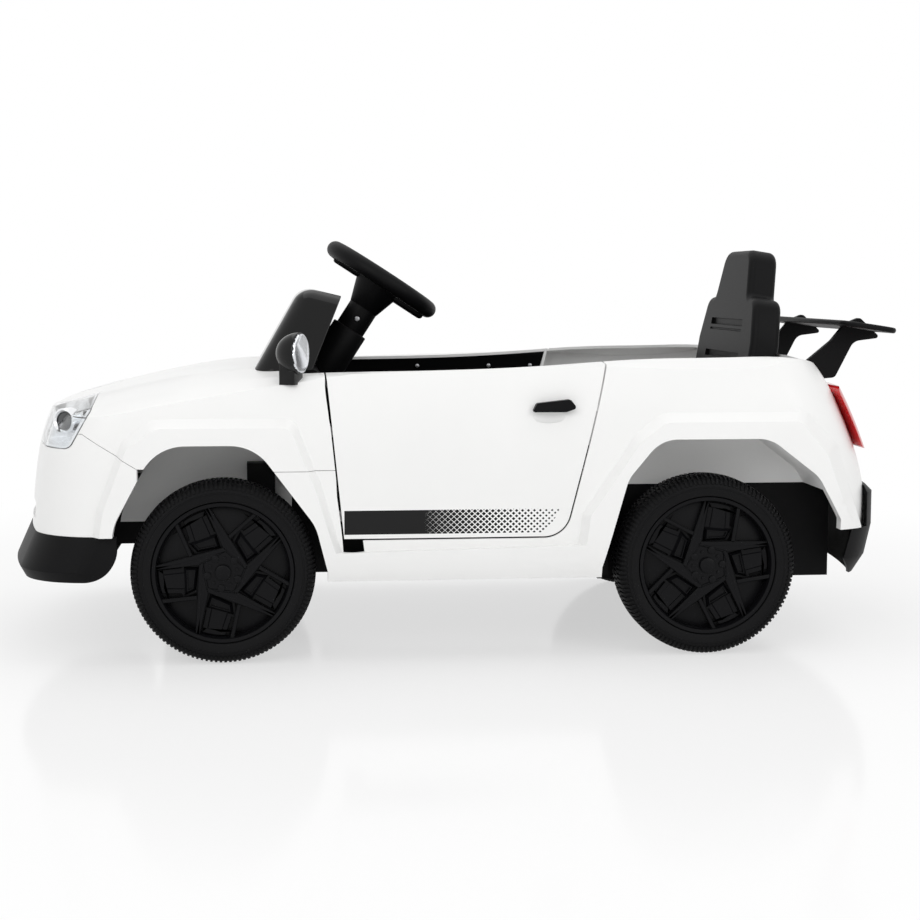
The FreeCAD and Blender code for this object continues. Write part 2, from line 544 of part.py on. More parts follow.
def front_lip():
    """Chin spoiler: a blade that follows the nose in plan and leans forward at its edge."""
    step_half = d.lip_half - d.lip_step
    tip = plan_outline(d.lip_front_x, d.waist_tail, d.lip_half, d.lip_edge_z)
    low = plan_outline(d.lip_front_x, d.waist_tail, d.lip_half, d.lip_low_z, d.lip_edge)
    top = plan_outline(d.rocker_nose, d.waist_tail, step_half, d.bumper_z)
    blade = Part.makeLoft([low, tip], True, True).fuse(Part.makeLoft([tip, top], True, True))
    hollow = Part.Face(plan_outline(d.rocker_nose, d.waist_tail, step_half, 0, 2 * d.wall))
    blade = blade.cut(hollow.extrude(Vector(0, 0, d.bumper_z)))
    floor = Part.Face(plan_outline(d.rocker_nose, d.waist_tail, step_half, d.lip_low_z, 2 * d.wall))
    blade = blade.fuse(floor.extrude(Vector(0, 0, d.wall)))
    end = [(d.lip_rear_x, d.bumper_z), (d.lip_rear_x, d.lip_low_z, d.lip_end_r), (-FAR, d.lip_low_z),
           (-FAR, d.bumper_z)]
    sub_part("front_lip", blade.common(prism(end, -FAR, FAR)))


def rear_bumper():
    """Black moulding that wraps the foot of the tail."""
    half = d.waist_half + d.touch_clear
    edge = d.bumper_edge
    levels = ((d.bumper_low_z, d.bumper_tuck), (d.rocker_z - 2 * edge, edge), (d.tail_edge_z, 0),
              (d.bumper_top_z - edge, 0), (d.bumper_top_z, edge))
    blocks = []
    for deeper in (0, d.bumper_wall):
        sections = [plan_outline(d.waist_nose, d.bumper_tail_x, half, z, inset + deeper) for z, inset in levels]
        blocks.append(Part.makeLoft(sections, True, True))
    block = blocks[0].cut(blocks[1])
    notch_x = d.bumper_front_x + d.bumper_notch + d.touch_clear
    under = d.tail_edge_z - d.touch_clear
    front = [(d.bumper_front_x + d.bumper_edge / 2, under),
             (d.bumper_front_x - d.bumper_edge / 2, d.rocker_z - 2 * edge, d.bumper_corner_r),
             (d.bumper_front_x + d.bumper_toe, d.bumper_low_z), (FAR, d.bumper_low_z), (FAR, d.bumper_top_z),
             (notch_x, d.bumper_top_z), (notch_x, under)]
    shell_space = OUTER.common(slab(-FAR, FAR, FAR, d.tail_edge_z, FAR))
    sub_part("rear_bumper", block.common(prism(front, -FAR, FAR)).cut(shell_space))


def doors():
    wall = skin(0, d.wall)
    frame_layer = skin(0, d.door_frame)
    trim_layer = flank(d.door_frame).cut(flank(d.door_frame + d.door_trim_thick))
    panel = prism(door_outline(), -FAR, -d.cockpit_half, d.door_gap)
    inner = prism(door_outline(), -FAR, -d.cockpit_half, d.door_gap + d.door_rim)
    reach_x = d.hinge_x + d.hinge_reach
    behind_hinge = on_hinge(box(reach_x, FAR, -FAR, 0, 0, FAR))
    door = wall.common(panel).fuse(frame_layer.common(panel.cut(inner)).common(behind_hinge))
    inner_face = -d.hinge_y + d.hinge_knuckle_r
    axis = Vector(d.hinge_x, -d.hinge_y, 0)
    low_eye = d.hinge_low_z + d.hinge_lug + d.touch_clear
    high_eye = d.hinge_high_z - d.hinge_knuckle - d.touch_clear
    for low_z in (low_eye, high_eye):
        eye = Part.makeCylinder(d.hinge_knuckle_r, d.hinge_knuckle, axis + Z_AXIS * low_z)
        arm = box(d.hinge_x, reach_x + d.door_rim, -d.waist_half + d.wall / 2, inner_face, low_z,
                  low_z + d.hinge_knuckle)
        bore = Part.makeCylinder(d.hinge_pin_r + d.running_clear, d.hinge_knuckle, axis + Z_AXIS * low_z)
        arm = on_hinge(arm)
        root = arm.common(hull(d.wall / 2)).common(panel)
        link = on_hinge(eye).fuse([root, arm.common(hull(d.wall + d.touch_clear))])
        door = door.fuse(link.cut(on_hinge(bore)))
    trim = trim_layer.common(panel).common(behind_hinge).common(roof(d.wall + d.touch_clear)).cut(door)
    half_length = d.handle_length / 2
    half_height = d.handle_height / 2
    wing = [(d.handle_x - half_length, d.handle_z - half_height, 2),
            (d.handle_x + half_length * 0.5, d.handle_z - half_height, 5),
            (d.handle_x + half_length, d.handle_z - half_height * 0.4, 3),
            (d.handle_x + half_length * 0.7, d.handle_z + half_height, 4),
            (d.handle_x - half_length * 0.8, d.handle_z + half_height * 0.4, 4)]
    handle = prism(wing, -d.crease_half - d.handle_proud, -d.crease_half + d.door_frame).cut(OUTER)
    for side, sign in SIDES.items():
        sub_part("door_" + side, on_side(door, sign))
        sub_part("door_trim_" + side, on_side(trim, sign))
        sub_part("door_handle_" + side, on_side(handle, sign))


def hinge_pins():
    pins = []
    up = FreeCAD.Rotation(Y_AXIS, -HINGE_LEAN).multVec(Z_AXIS)
    foot = HINGE_AT + up * (d.hinge_low_z - HINGE_AT.z)
    for side, sign in SIDES.items():
        pins.append(primitive("Cylinder", "hinge_pin_" + side,
                              {"Radius": "Sizes.hinge_pin_r",
                               "Height": "Sizes.hinge_high_z + Sizes.hinge_lug - Sizes.hinge_low_z"},
                              Vector(foot.x, sign * d.hinge_y, foot.z), up))
    named(boolean("Fuse", "door_hinge_pins", *pins), "door_hinge_pins")


def lamps():
    lens_layer = skin(0, d.lens_thick)
    bowl_layer = skin(d.lens_thick, d.bowl_depth)
    cavity_layer = skin(d.lens_thick, d.bowl_depth - d.wall)
    tail_layer = skin(-d.tail_lens_proud, d.tail_lens_proud + d.tail_lens)
    lamp = prism(lamp_outline(), -FAR, -d.lamp_inner_y, d.touch_clear)
    lamp_hollow = prism(lamp_outline(), -FAR, -d.lamp_inner_y, d.wall)
    lamp_hollow = lamp_hollow.common(box(-FAR, FAR, -FAR, -d.lamp_inner_y - d.wall, 0, FAR))
    lens = lens_layer.common(lamp)
    bowl = bowl_layer.common(lamp).cut(cavity_layer.common(lamp_hollow))
    tail = tail_layer.common(prism(tail_lamp_outline(), -FAR, -d.tail_lamp_inner_y, d.touch_clear))
    for side, sign in SIDES.items():
        sub_part("headlight_lens_" + side, on_side(lens, sign))
        sub_part("headlight_bowl_" + side, on_side(bowl, sign))
        sub_part("taillight_" + side, on_side(tail, sign))


def column_point(along, across=0.0):
    """A point on the steering column: along it from the wheel's centre, and across it towards the nose."""
    tilt = math.radians(d.column_tilt)
    down = Vector(-math.sin(tilt), 0, -math.cos(tilt))
    forward = Vector(-math.cos(tilt), 0, math.sin(tilt))
    return Vector(d.wheel_centre_x, 0, d.wheel_centre_z) + down * along + forward * across


ROD_TOP = -d.steer_hub_high / 4
TIE_Z = d.arm_z + d.arm_thick + d.touch_clear


def crank_throw():
    """How far the tie bar's middle lies ahead of the column's axis."""
    target = Vector(d.front_axle_x - d.steer_arm, 0, TIE_Z + d.tie_thick / 2)
    offset = target - column_point(0)
    along = offset.dot(column_point(1) - column_point(0))
    across = offset.dot(column_point(0, 1) - column_point(0))
    return along, across


def shock_tower(clear=0.0):
    """The left block over the upper kingpin bracket, grown by a clearance."""
    x0 = d.front_axle_x + d.tower_lead
    low_z = d.wheel_r + (1 - d.knuckle_share) * d.knuckle_height + d.touch_clear
    return box(x0 - clear, x0 + d.tower_length + clear, -d.pan_front_half - d.tower_depth - clear,
               -d.pan_front_half + d.pan_wall, low_z - clear, d.arch_top_z - d.tower_drop + clear)


def floor_pan():
    """Chassis tray in four bays, with kingpin brackets, a column bearing and axle holes."""
    w = d.pan_wall
    nose = slab(d.pan_nose_x, d.pan_front_x + w, d.pan_front_half, d.pan_nose_low_z, d.pan_front_top_z)
    front = slab(d.pan_front_x, d.pan_mid_front_x, d.pan_front_half, d.pan_front_low_z, d.pan_front_top_z)
    middle = slab(d.pan_mid_front_x, d.pan_mid_rear_x, d.pan_mid_half, d.pan_low_z, d.pan_top_z)
    rear = slab(d.pan_mid_rear_x - w, d.pan_rear_x, d.pan_rear_half, d.pan_rear_low_z, d.pan_top_z)
    tail = slab(d.pan_tail_x, d.pan_rear_x, d.pan_rear_half, d.pan_rear_low_z, d.pan_tail_top_z)
    flange_z = d.sill_z + d.flange_rise
    sill_flange = slab(d.pan_mid_front_x + d.flange_front, d.pan_mid_rear_x - d.flange_rear, FAR, flange_z,
                       flange_z + w)
    sill_flange = sill_flange.common(hull(d.wall + d.touch_clear))
    pan = front.fuse([nose, middle, rear, tail, sill_flange])
    for x0, x1, half, low_z in ((d.pan_nose_x + w, d.pan_front_x, d.pan_front_half, d.pan_nose_low_z),
                                (d.pan_front_x + w, d.pan_mid_front_x, d.pan_front_half, d.pan_front_low_z),
                                (d.pan_mid_front_x + w, d.pan_mid_rear_x - w, d.pan_mid_half, d.pan_low_z),
                                (d.pan_mid_rear_x, d.pan_rear_x - w, d.pan_rear_half, d.pan_rear_low_z)):
        pan = pan.cut(slab(x0, x1, half - w, low_z + w, FAR))
    bearing_x = column_point(d.bearing_along).x
    bearing = slab(bearing_x - 2 * w, bearing_x + 2 * w, d.pan_front_half, d.pan_front_low_z, d.bearing_top_z)
    pan = pan.fuse(bearing)
    knuckle_low = d.wheel_r - d.knuckle_share * d.knuckle_height
    knuckle_high = knuckle_low + d.knuckle_height
    brackets = []
    for low_z in (knuckle_low - d.touch_clear - d.bracket, knuckle_high + d.touch_clear):
        pin = Vector(d.front_axle_x, -d.kingpin_y, low_z)
        eye = Part.makeCylinder(d.bracket_r, d.bracket, pin)
        arm = box(d.front_axle_x - d.bracket_r, d.front_axle_x + d.bracket_r, -d.kingpin_y,
                  -d.pan_front_half + w, low_z, low_z + d.bracket)
        hole = Part.makeCylinder(d.kingpin_r + d.running_clear, d.bracket, pin)
        bracket = eye.fuse(arm).cut(hole)
        brackets += [bracket, mirrored(bracket)]
    tower = shock_tower()
    bosses = [bar(place - Z_AXIS * d.boss_height, place, 2 * d.screw_r + 1) for place in seat_screw_places()]
    pan = pan.fuse(brackets + [tower, mirrored(tower)] + bosses)
    for place in seat_screw_places():
        pan = pan.cut(bar(place - Z_AXIS * (d.screw_in + d.touch_clear), place, d.screw_r + d.fit_clear))
    pan = pan.cut(bar(column_point(d.stem_end), column_point(d.rod_end), d.rod_r + d.running_clear))
    slot_x = d.front_axle_x - d.steer_arm
    slot = slab(slot_x - d.tie_width, slot_x + d.tie_width, d.pan_front_half, d.arm_z - d.slot_clear,
                TIE_Z + d.tie_thick + d.slot_clear)
    pan = pan.cut(slot)
    sub_part("floor_pan", pan.cut(axle_hole()).cut(motor_hole()))


def axle_hole():
    left_end = Vector(REAR_AXLE_X, -FAR, d.wheel_r)
    return bar(left_end, left_end + Y_AXIS * 2 * FAR, d.axle_r + d.fit_clear)


def motor_hole():
    left_end = Vector(REAR_AXLE_X + d.motor_offset, -FAR, d.wheel_r + d.motor_rise)
    return bar(left_end, left_end + Y_AXIS * 2 * FAR, d.motor_r + d.touch_clear)


def steering():
    throw_along, throw = crank_throw()
    tilt = math.radians(d.column_tilt)
    down = column_point(1) - column_point(0)
    across = Vector(math.cos(tilt), 0, -math.sin(tilt))
    ring = Part.makeTorus(d.steer_ring_r, d.steer_grip_r, column_point(0), down)
    hub = bar(column_point(-d.steer_hub_high / 2), column_point(d.steer_hub_high / 2), d.steer_hub_r)
    stem = bar(column_point(0), column_point(d.stem_end), d.stem_r)
    wheel = ring.fuse([hub, stem])
    for direction in (Y_AXIS, -Y_AXIS, across):
        spoke = Part.makeBox(d.steer_ring_r, d.spoke_width, d.spoke_thick,
                             Vector(0, -d.spoke_width / 2, -d.spoke_thick / 2))
        wide = direction.cross(down)
        turn = FreeCAD.Rotation(direction, -wide, -down, "XYZ")
        spoke.Placement = FreeCAD.Placement(column_point(0), turn)
        wheel = wheel.fuse(spoke)
    pocket_floor = d.horn_travel + d.touch_clear + d.horn_high / 2
    pocket = bar(column_point(-d.steer_hub_high), column_point(pocket_floor - d.steer_hub_high / 2),
                 d.horn_r + d.touch_clear)
    rod_bore = bar(column_point(ROD_TOP), column_point(d.stem_end), d.rod_r + d.fit_clear)
    sub_part("steering_wheel", wheel.cut(pocket).cut(rod_bore))
    horn_low = d.horn_high / 2 - d.steer_hub_high / 2
    sub_part("horn_button", bar(column_point(horn_low - d.horn_high), column_point(horn_low), d.horn_r))
    sleeve = bar(column_point(d.sleeve_start), column_point(d.sleeve_end), d.sleeve_r)
    sleeve = sleeve.cut(bar(column_point(0), column_point(d.sleeve_end), d.rod_r + d.running_clear))
    cup_floor = column_point(d.stem_end + d.slot_clear)
    sleeve = sleeve.cut(bar(column_point(0), cup_floor, d.stem_r + d.sleeve_clear))
    sub_part("column_sleeve", sleeve)
    rod = bar(column_point(ROD_TOP), column_point(d.rod_end), d.rod_r)
    arm = bar(column_point(d.rod_end - d.rod_r), column_point(d.rod_end - d.rod_r, throw), d.crank_r)
    pin_top = column_point(d.rod_end - 2 * d.rod_r, throw)
    pin = bar(pin_top, column_point(throw_along + d.tie_thick, throw), d.crank_pin_r)
    sub_part("steering_rod", rod.fuse([arm, pin]))
    tie_x = d.front_axle_x - d.steer_arm
    top_z = TIE_Z + d.tie_thick
    tie = slab(tie_x - d.tie_width / 2, tie_x + d.tie_width / 2, d.kingpin_y, TIE_Z, top_z)
    tie = tie.fuse(slab(tie_x - d.tie_width, tie_x + d.tie_width, d.tie_width, TIE_Z, top_z))
    for sign in SIDES.values():
        foot = Vector(tie_x, sign * d.kingpin_y, d.arm_z)
        eye = Part.makeCylinder(d.tie_width / 2, d.tie_thick, Vector(foot.x, foot.y, TIE_Z))
        pin = Part.makeCylinder(d.tie_pin_r, top_z - d.tie_thick / 2 - d.arm_z, foot)
        tie = tie.fuse([eye, pin])
    slot_x = d.crank_pin_r + d.crank_clear + d.tie_thick
    slot_y = d.crank_pin_r + d.crank_clear
    tie = tie.cut(box(tie_x - slot_x, tie_x + slot_x, -slot_y, slot_y, 0, FAR))
    sub_part("tie_rod", tie)


def knuckles():
    """Kingpin and sleeve, stub axle and steering arm, as one forging a side."""
    low_z = d.wheel_r - d.knuckle_share * d.knuckle_height
    for side, sign in SIDES.items():
        centre = Vector(d.front_axle_x, -d.kingpin_y, low_z)
        sleeve = Part.makeCylinder(d.knuckle_r, d.knuckle_height, centre)
        pin = Part.makeCylinder(d.kingpin_r, d.knuckle_height + 2 * d.bracket,
                                centre - Z_AXIS * d.bracket)
        stub_end = -d.wheel_outer_y + d.axle_cap_thick + d.touch_clear
        stub = bar(Vector(d.front_axle_x, -d.kingpin_y, d.wheel_r), Vector(d.front_axle_x, stub_end, d.wheel_r),
                   d.axle_r)
        arm_x = d.front_axle_x - d.steer_arm
        arm = box(arm_x, d.front_axle_x, -d.kingpin_y - d.arm_width / 2, -d.kingpin_y + d.arm_width / 2,
                  d.arm_z, d.arm_z + d.arm_thick)
        eye = Part.makeCylinder(d.arm_width / 2, d.arm_thick, Vector(arm_x, -d.kingpin_y, d.arm_z))
        clear = d.running_clear if sign < 0 else d.tie_open_clear
        hole = Part.makeCylinder(d.tie_pin_r + clear, d.arm_thick, Vector(arm_x, -d.kingpin_y, d.arm_z))
        sub_part("knuckle_" + side, on_side(sleeve.fuse([pin, stub, arm, eye]).cut(hole), sign))


def rim(hand, turn):
    """A spoked rim about the Y axis, outer face towards -Y, with recessed three-cornered windows."""
    outer = -d.wheel_outer_y
    inner = outer + d.wheel_width
    face_y = outer + d.rim_face_depth
    barrel = bar(Vector(0, outer + d.rim_lip, 0), Vector(0, inner, 0), d.rim_r)
    barrel = barrel.cut(bar(Vector(0, outer, 0), Vector(0, inner, 0), d.rim_r - d.rim_wall))
    face = bar(Vector(0, face_y, 0), Vector(0, face_y + d.rim_face_thick, 0), d.rim_r - d.rim_wall / 2)
    hub = bar(Vector(0, outer + d.hub_lip, 0), Vector(0, inner, 0), d.rim_hub_r)
    shape = barrel.fuse([face, hub])
    corners = [(d.window_inner_r, d.window_inner_deg), (d.window_outer_r, d.window_to_deg),
               (d.window_outer_r, d.window_from_deg)]
    for spoke in range(int(d.spokes)):
        points = []
        for r, degrees in corners:
            angle = math.radians(hand * degrees + turn + spoke * 360 / d.spokes)
            points.append((r * math.cos(angle), r * math.sin(angle), d.window_corner_r))
        shape = shape.cut(prism(points, outer, face_y + d.window_depth))
    bore = bar(Vector(0, outer + d.axle_cap_thick, 0), Vector(0, inner, 0), d.axle_r + d.running_clear)
    return shape.cut(bore)


def wheels():
    axles = {"front": d.front_axle_x, "rear": REAR_AXLE_X}
    for end, x in axles.items():
        for side, sign in SIDES.items():
            name = end + "_" + side
            outside = Vector(x, sign * d.wheel_outer_y, d.wheel_r)
            inward = Vector(0, -sign, 0)
            disc = primitive("Cylinder", "tyre_disc_" + name,
                             {"Radius": "Sizes.wheel_r", "Height": "Sizes.wheel_width"}, outside, inward)
            hole = primitive("Cylinder", "tyre_hole_" + name,
                             {"Radius": "Sizes.rim_r + Sizes.fit_clear", "Height": "Sizes.wheel_width"},
                             outside, inward)
            ring = boolean("Cut", "tyre_ring_" + name, disc, hole)
            doc.recompute()
            tyre = doc.addObject("Part::Fillet", "tyre_" + name)
            tyre.Base = ring
            edges = [i for i, edge in enumerate(ring.Shape.Edges, start=1)
                     if hasattr(edge.Curve, "Radius") and abs(edge.Curve.Radius - d.wheel_r) < 0.01]
            tyre.Edges = [(i, d.tyre_edge_r, d.tyre_edge_r) for i in edges]
            named(tyre, "tyre_" + name)
            shape = rim(1, 0) if end == "front" else rim(-1, d.rear_window_turn)
            shape.translate(Vector(x, 0, d.wheel_r))
            sub_part("rim_" + name, on_side(shape, sign))
    half = d.wheel_outer_y - d.axle_cap_thick - d.touch_clear
    axle = primitive("Cylinder", "rear_axle",
                     {"Radius": "Sizes.axle_r",
                      "Height": "2 * (Sizes.wheel_outer_y - Sizes.axle_cap_thick - Sizes.touch_clear)"},
                     Vector(REAR_AXLE_X, -half, d.wheel_r), Y_AXIS)
    named(axle, "rear_axle")


def drive():
    wheel_inner = d.wheel_outer_y - d.wheel_width
    for side, sign in SIDES.items():
        near = d.pan_rear_half + d.touch_clear
        case_x = REAR_AXLE_X - d.gearbox_lead
        half_height = d.gearbox_height / 2
        case = box(case_x, case_x + d.gearbox_length, -near - d.gearbox_width, -near,
                   d.wheel_r - half_height, d.wheel_r + half_height)
        nose_end = Vector(REAR_AXLE_X, -wheel_inner + d.gearbox_gap, d.wheel_r)
        nose = bar(Vector(REAR_AXLE_X, -near, d.wheel_r), nose_end, d.rim_hub_r)
        case = case.makeFillet(d.gearbox_edge_r, [e for e in case.Edges if abs(e.tangentAt(0).y) > 0.9])
        sub_part("gearbox_" + side, on_side(case.fuse(nose).cut(axle_hole()), sign))
        motor = primitive("Cylinder", "motor_" + side,
                          {"Radius": "Sizes.motor_r", "Height": "Sizes.motor_length"},
                          Vector(REAR_AXLE_X + d.motor_offset, sign * near, d.wheel_r + d.motor_rise),
                          Vector(0, -sign, 0))
        named(motor, "motor_" + side)
    shelf = d.pan_rear_low_z + d.pan_wall
    battery = primitive("Box", "battery", {"Length": "Sizes.battery_length", "Width": "Sizes.battery_width",
                                           "Height": "Sizes.battery_height"},
                        Vector(d.battery_x, -d.battery_width / 2, shelf))
    named(battery, "battery")
    receiver = primitive("Box", "receiver_box", {"Length": "Sizes.box_length", "Width": "Sizes.box_width",
                                                 "Height": "Sizes.box_height"},
                         Vector(d.box_x, -d.box_width / 2, shelf))
    named(receiver, "receiver_box")


def cowl_form(inset, behind):
    """The cowl's block with rounded edges, drawn in by inset and carried on backwards by behind."""
    rise = d.cowl_top_z - d.cowl_base_z
    slope = math.hypot(rise, d.cowl_top_front_x - d.cowl_base_front_x) / rise
    fall = d.cowl_fall / (d.cowl_top_rear_x - d.cowl_top_front_x)
    wires = []
    for front, rear, half, z, drop in (
            (d.cowl_base_front_x, d.cowl_base_rear_x, d.cowl_base_half, d.cowl_base_z, 0),
            (d.cowl_top_front_x, d.cowl_top_rear_x, d.cowl_top_half, d.cowl_top_z - inset, fall)):
        x0, x1, y = front + inset * slope, rear + behind, half - inset
        rear_z = z - drop * (x1 - x0)
        points = [Vector(x0, -y, z), Vector(x1, -y, rear_z), Vector(x1, y, rear_z), Vector(x0, y, z)]
        wires.append(Part.makePolygon(points + points[:1]))
    block = Part.makeLoft(wires, True, True)
    top_z = d.cowl_top_z - inset
    return block.makeFillet(d.cowl_edge_r - inset, [e for e in block.Edges if e.BoundBox.ZMax > top_z - 1])


def cowl():
    """Windscreen surround: front, two cheeks and a top, open behind and below."""
    shell = cowl_form(0, 0).cut(cowl_form(d.cowl_wall, 2 * d.cowl_wall))
    sub_part("windscreen_cowl", shell.cut(OUTER))


def dashboard():
    front_x = d.cockpit_front_x + d.touch_clear
    rear_x = d.dash_rear_x
    profile = [(front_x, d.pan_top_z), (front_x, d.dash_top_z),
               (front_x + d.dash_shelf, d.dash_top_z, d.dash_edge_r), (rear_x, d.dash_knee_z, d.dash_edge_r),
               (rear_x, d.pan_top_z)]
    panel = prism(profile, -d.dash_half, d.dash_half)
    hollow = prism(profile, -d.dash_half + d.wall, d.dash_half - d.wall, d.dash_wall)
    panel = panel.cut(hollow.fuse(hollow.translated(Vector(-d.dash_wall, 0, 0))))
    panel = panel.cut(bar(column_point(0), column_point(d.rod_end), d.sleeve_r + d.fit_clear))
    button_z = (d.dash_knee_z + d.pan_top_z) / 2
    button_at = Vector(rear_x, d.button_y, button_z)
    inward = Vector(-1, 0, 0)
    pocket = bar(button_at + inward * (d.button_high + d.button_travel), button_at - inward * FAR,
                 d.button_r + d.touch_clear)
    low_y = -d.switch_y - d.switch_width / 2
    high_y = -d.switch_y + d.switch_width / 2
    half_length = d.switch_length / 2
    room = half_length + d.switch_clear
    switch_pocket = box(rear_x - d.switch_pocket, FAR, low_y - d.touch_clear, high_y + d.touch_clear,
                        button_z - room, button_z + room)
    pin_at = Vector(rear_x - d.switch_pin_in, -d.switch_y, button_z)
    pin_reach = Y_AXIS * d.switch_pin_half
    pin_room = Y_AXIS * (d.switch_pin_half + d.touch_clear)
    pin_hole = bar(pin_at - pin_room, pin_at + pin_room, d.switch_pin_r + d.running_clear)
    sub_part("dashboard", panel.cut(pocket).cut(switch_pocket).cut(pin_hole))
    button = bar(button_at + inward * d.button_high, button_at - inward * d.button_high, d.button_r)
    sub_part("power_button", button)
    r = d.switch_edge_r
    low_z, high_z = button_z - half_length, button_z + half_length
    rocker = [(rear_x + d.switch_proud, low_z, r), (rear_x + d.switch_proud, high_z, r),
              (rear_x - d.switch_in, high_z, r), (rear_x - d.switch_keel, button_z, r),
              (rear_x - d.switch_in, low_z, r)]
    key = prism(rocker, low_y, high_y).fuse(bar(pin_at - pin_reach, pin_at + pin_reach, d.switch_pin_r))
    sub_part("direction_switch", key)


def mirrors():
    """A rounded shell on a square neck, with an oval glass in its rear face."""
    face_x = d.mirror_x + d.mirror_depth / 3
    centre = Vector(face_x, -d.mirror_y, d.mirror_z)
    stretch = FreeCAD.Matrix()
    stretch.scale(Vector(d.mirror_depth, d.mirror_half_w, d.mirror_half_h))
    shell = Part.makeSphere(1).transformGeometry(stretch)
    shell = shell.common(box(-FAR, 0, -FAR, FAR, -FAR, FAR)).translated(centre)
    stretch = FreeCAD.Matrix()
    stretch.scale(Vector(d.mirror_half_h - d.mirror_rim, d.mirror_half_w - d.mirror_rim,
                         d.mirror_glass_thick))
    glass = Part.makeCylinder(1, 1).transformGeometry(stretch)
    glass.Placement = FreeCAD.Placement(centre, FreeCAD.Rotation(Z_AXIS, Vector(1, 0, 0)))
    half_neck = d.mirror_neck / 2
    neck = box(face_x - d.mirror_neck, face_x - d.mirror_rim, -d.mirror_y - half_neck,
               -d.mirror_y + half_neck, d.mirror_neck_z, d.mirror_z)
    shell = shell.fuse(neck).rotated(centre, Z_AXIS, -d.mirror_turn)
    glass = glass.rotated(centre, Z_AXIS, -d.mirror_turn)
    outside = largest(shell.cut(OUTER))
    for side, sign in SIDES.items():
        sub_part("mirror_shell_" + side, on_side(outside, sign))
        sub_part("mirror_glass_" + side, on_side(glass, sign))


def seat_screw_places():
    for x in (d.seat_front_x + d.screw_inset, d.screw_rear_x):
        for sign in (-1, 1):
            yield Vector(x, sign * d.screw_y, d.pan_top_z)


def seat_base():
    """Seat box lid: a hollow plate with a raised sitting face, and an apron down to the tray."""
    low = d.pan_top_z
    plate = slab(d.seat_front_x, d.pan_mid_rear_x, d.seat_half, low, d.seat_top_z)
    plate = plate.fuse(slab(d.seat_front_x, d.seat_rear_x, d.pan_rear_half, low, d.seat_top_z))
    hollow = slab(d.pan_mid_rear_x + d.seat_plate, d.seat_rear_x - d.back_thick,
                  d.pan_rear_half - 2 * d.seat_plate, low, d.seat_top_z - d.seat_plate)
    apron = slab(d.seat_front_x, d.seat_front_x + d.seat_plate, d.seat_half, d.pan_low_z + d.pan_wall, low)
    pad = slab(d.seat_front_x + d.seat_pad_front, d.seat_back_x - d.seat_pad_gap, d.seat_pad_half,
               d.seat_top_z, d.seat_top_z + d.seat_pad_high)
    socket_at = Vector(d.socket_x, -d.socket_y, d.seat_top_z)
    socket_hole = bar(socket_at, socket_at - Z_AXIS * (d.seat_top_z - low), d.socket_body_r + d.fit_clear)
    tail_front = d.pan_tail_x - d.touch_clear
    tail_walls = slab(tail_front, FAR, d.pan_rear_half + d.touch_clear, 0, d.pan_tail_top_z)
    tail_walls = tail_walls.cut(slab(tail_front, FAR, d.pan_rear_half - d.pan_wall - d.touch_clear, 0, FAR))
    base = plate.cut(hollow).fuse([apron, pad]).cut(socket_hole).cut(tail_walls)
    screws = []
    for place in seat_screw_places():
        top = Vector(place.x, place.y, d.seat_top_z)
        base = base.fuse(bar(place, top, 2 * d.screw_r))
        base = base.cut(bar(place, top, d.screw_r + d.fit_clear))
        head = bar(top, top + Z_AXIS * d.screw_head, 2 * d.screw_r)
        screws.append(head.fuse(bar(place - Z_AXIS * d.screw_in, top, d.screw_r)))
    sub_part("seat_base", base)
    sub_part("seat_screws", Part.makeCompound(screws))


def back_form(x0, x1, inset):
    """The seat back seen from the front, from x0 to x1: broad shoulders under a narrower head."""
    near = [(-d.back_half, d.seat_top_z - d.back_edge_r), (-d.back_high_half, d.back_high_z),
            (-d.shoulder_half, d.shoulder_z, d.shoulder_r), (-d.neck_half, d.neck_z, d.neck_r),
            (-d.head_half, d.head_z, d.head_r)]
    far = [(-corner[0],) + corner[1:] for corner in reversed(near)]
    return prism(near + far, x0, x1, inset).rotated(Vector(), Z_AXIS, -90)


def seat_back():
    """A moulded back, leaning and hollow from behind."""
    front = d.seat_back_x
    back = back_form(front, front + d.back_thick, 0)
    rim = [edge for edge in back.Edges if edge.BoundBox.XLength < 0.01 and edge.BoundBox.ZMax > d.seat_top_z]
    back = back.makeFillet(d.back_edge_r, rim).cut(back_form(front + d.back_wall, FAR, d.back_wall))
    back = back.rotated(Vector(front, 0, d.seat_top_z), Y_AXIS, d.back_lean)
    sub_part("seat_back", largest(back.cut(slab(0, FAR, FAR, 0, d.seat_top_z))))


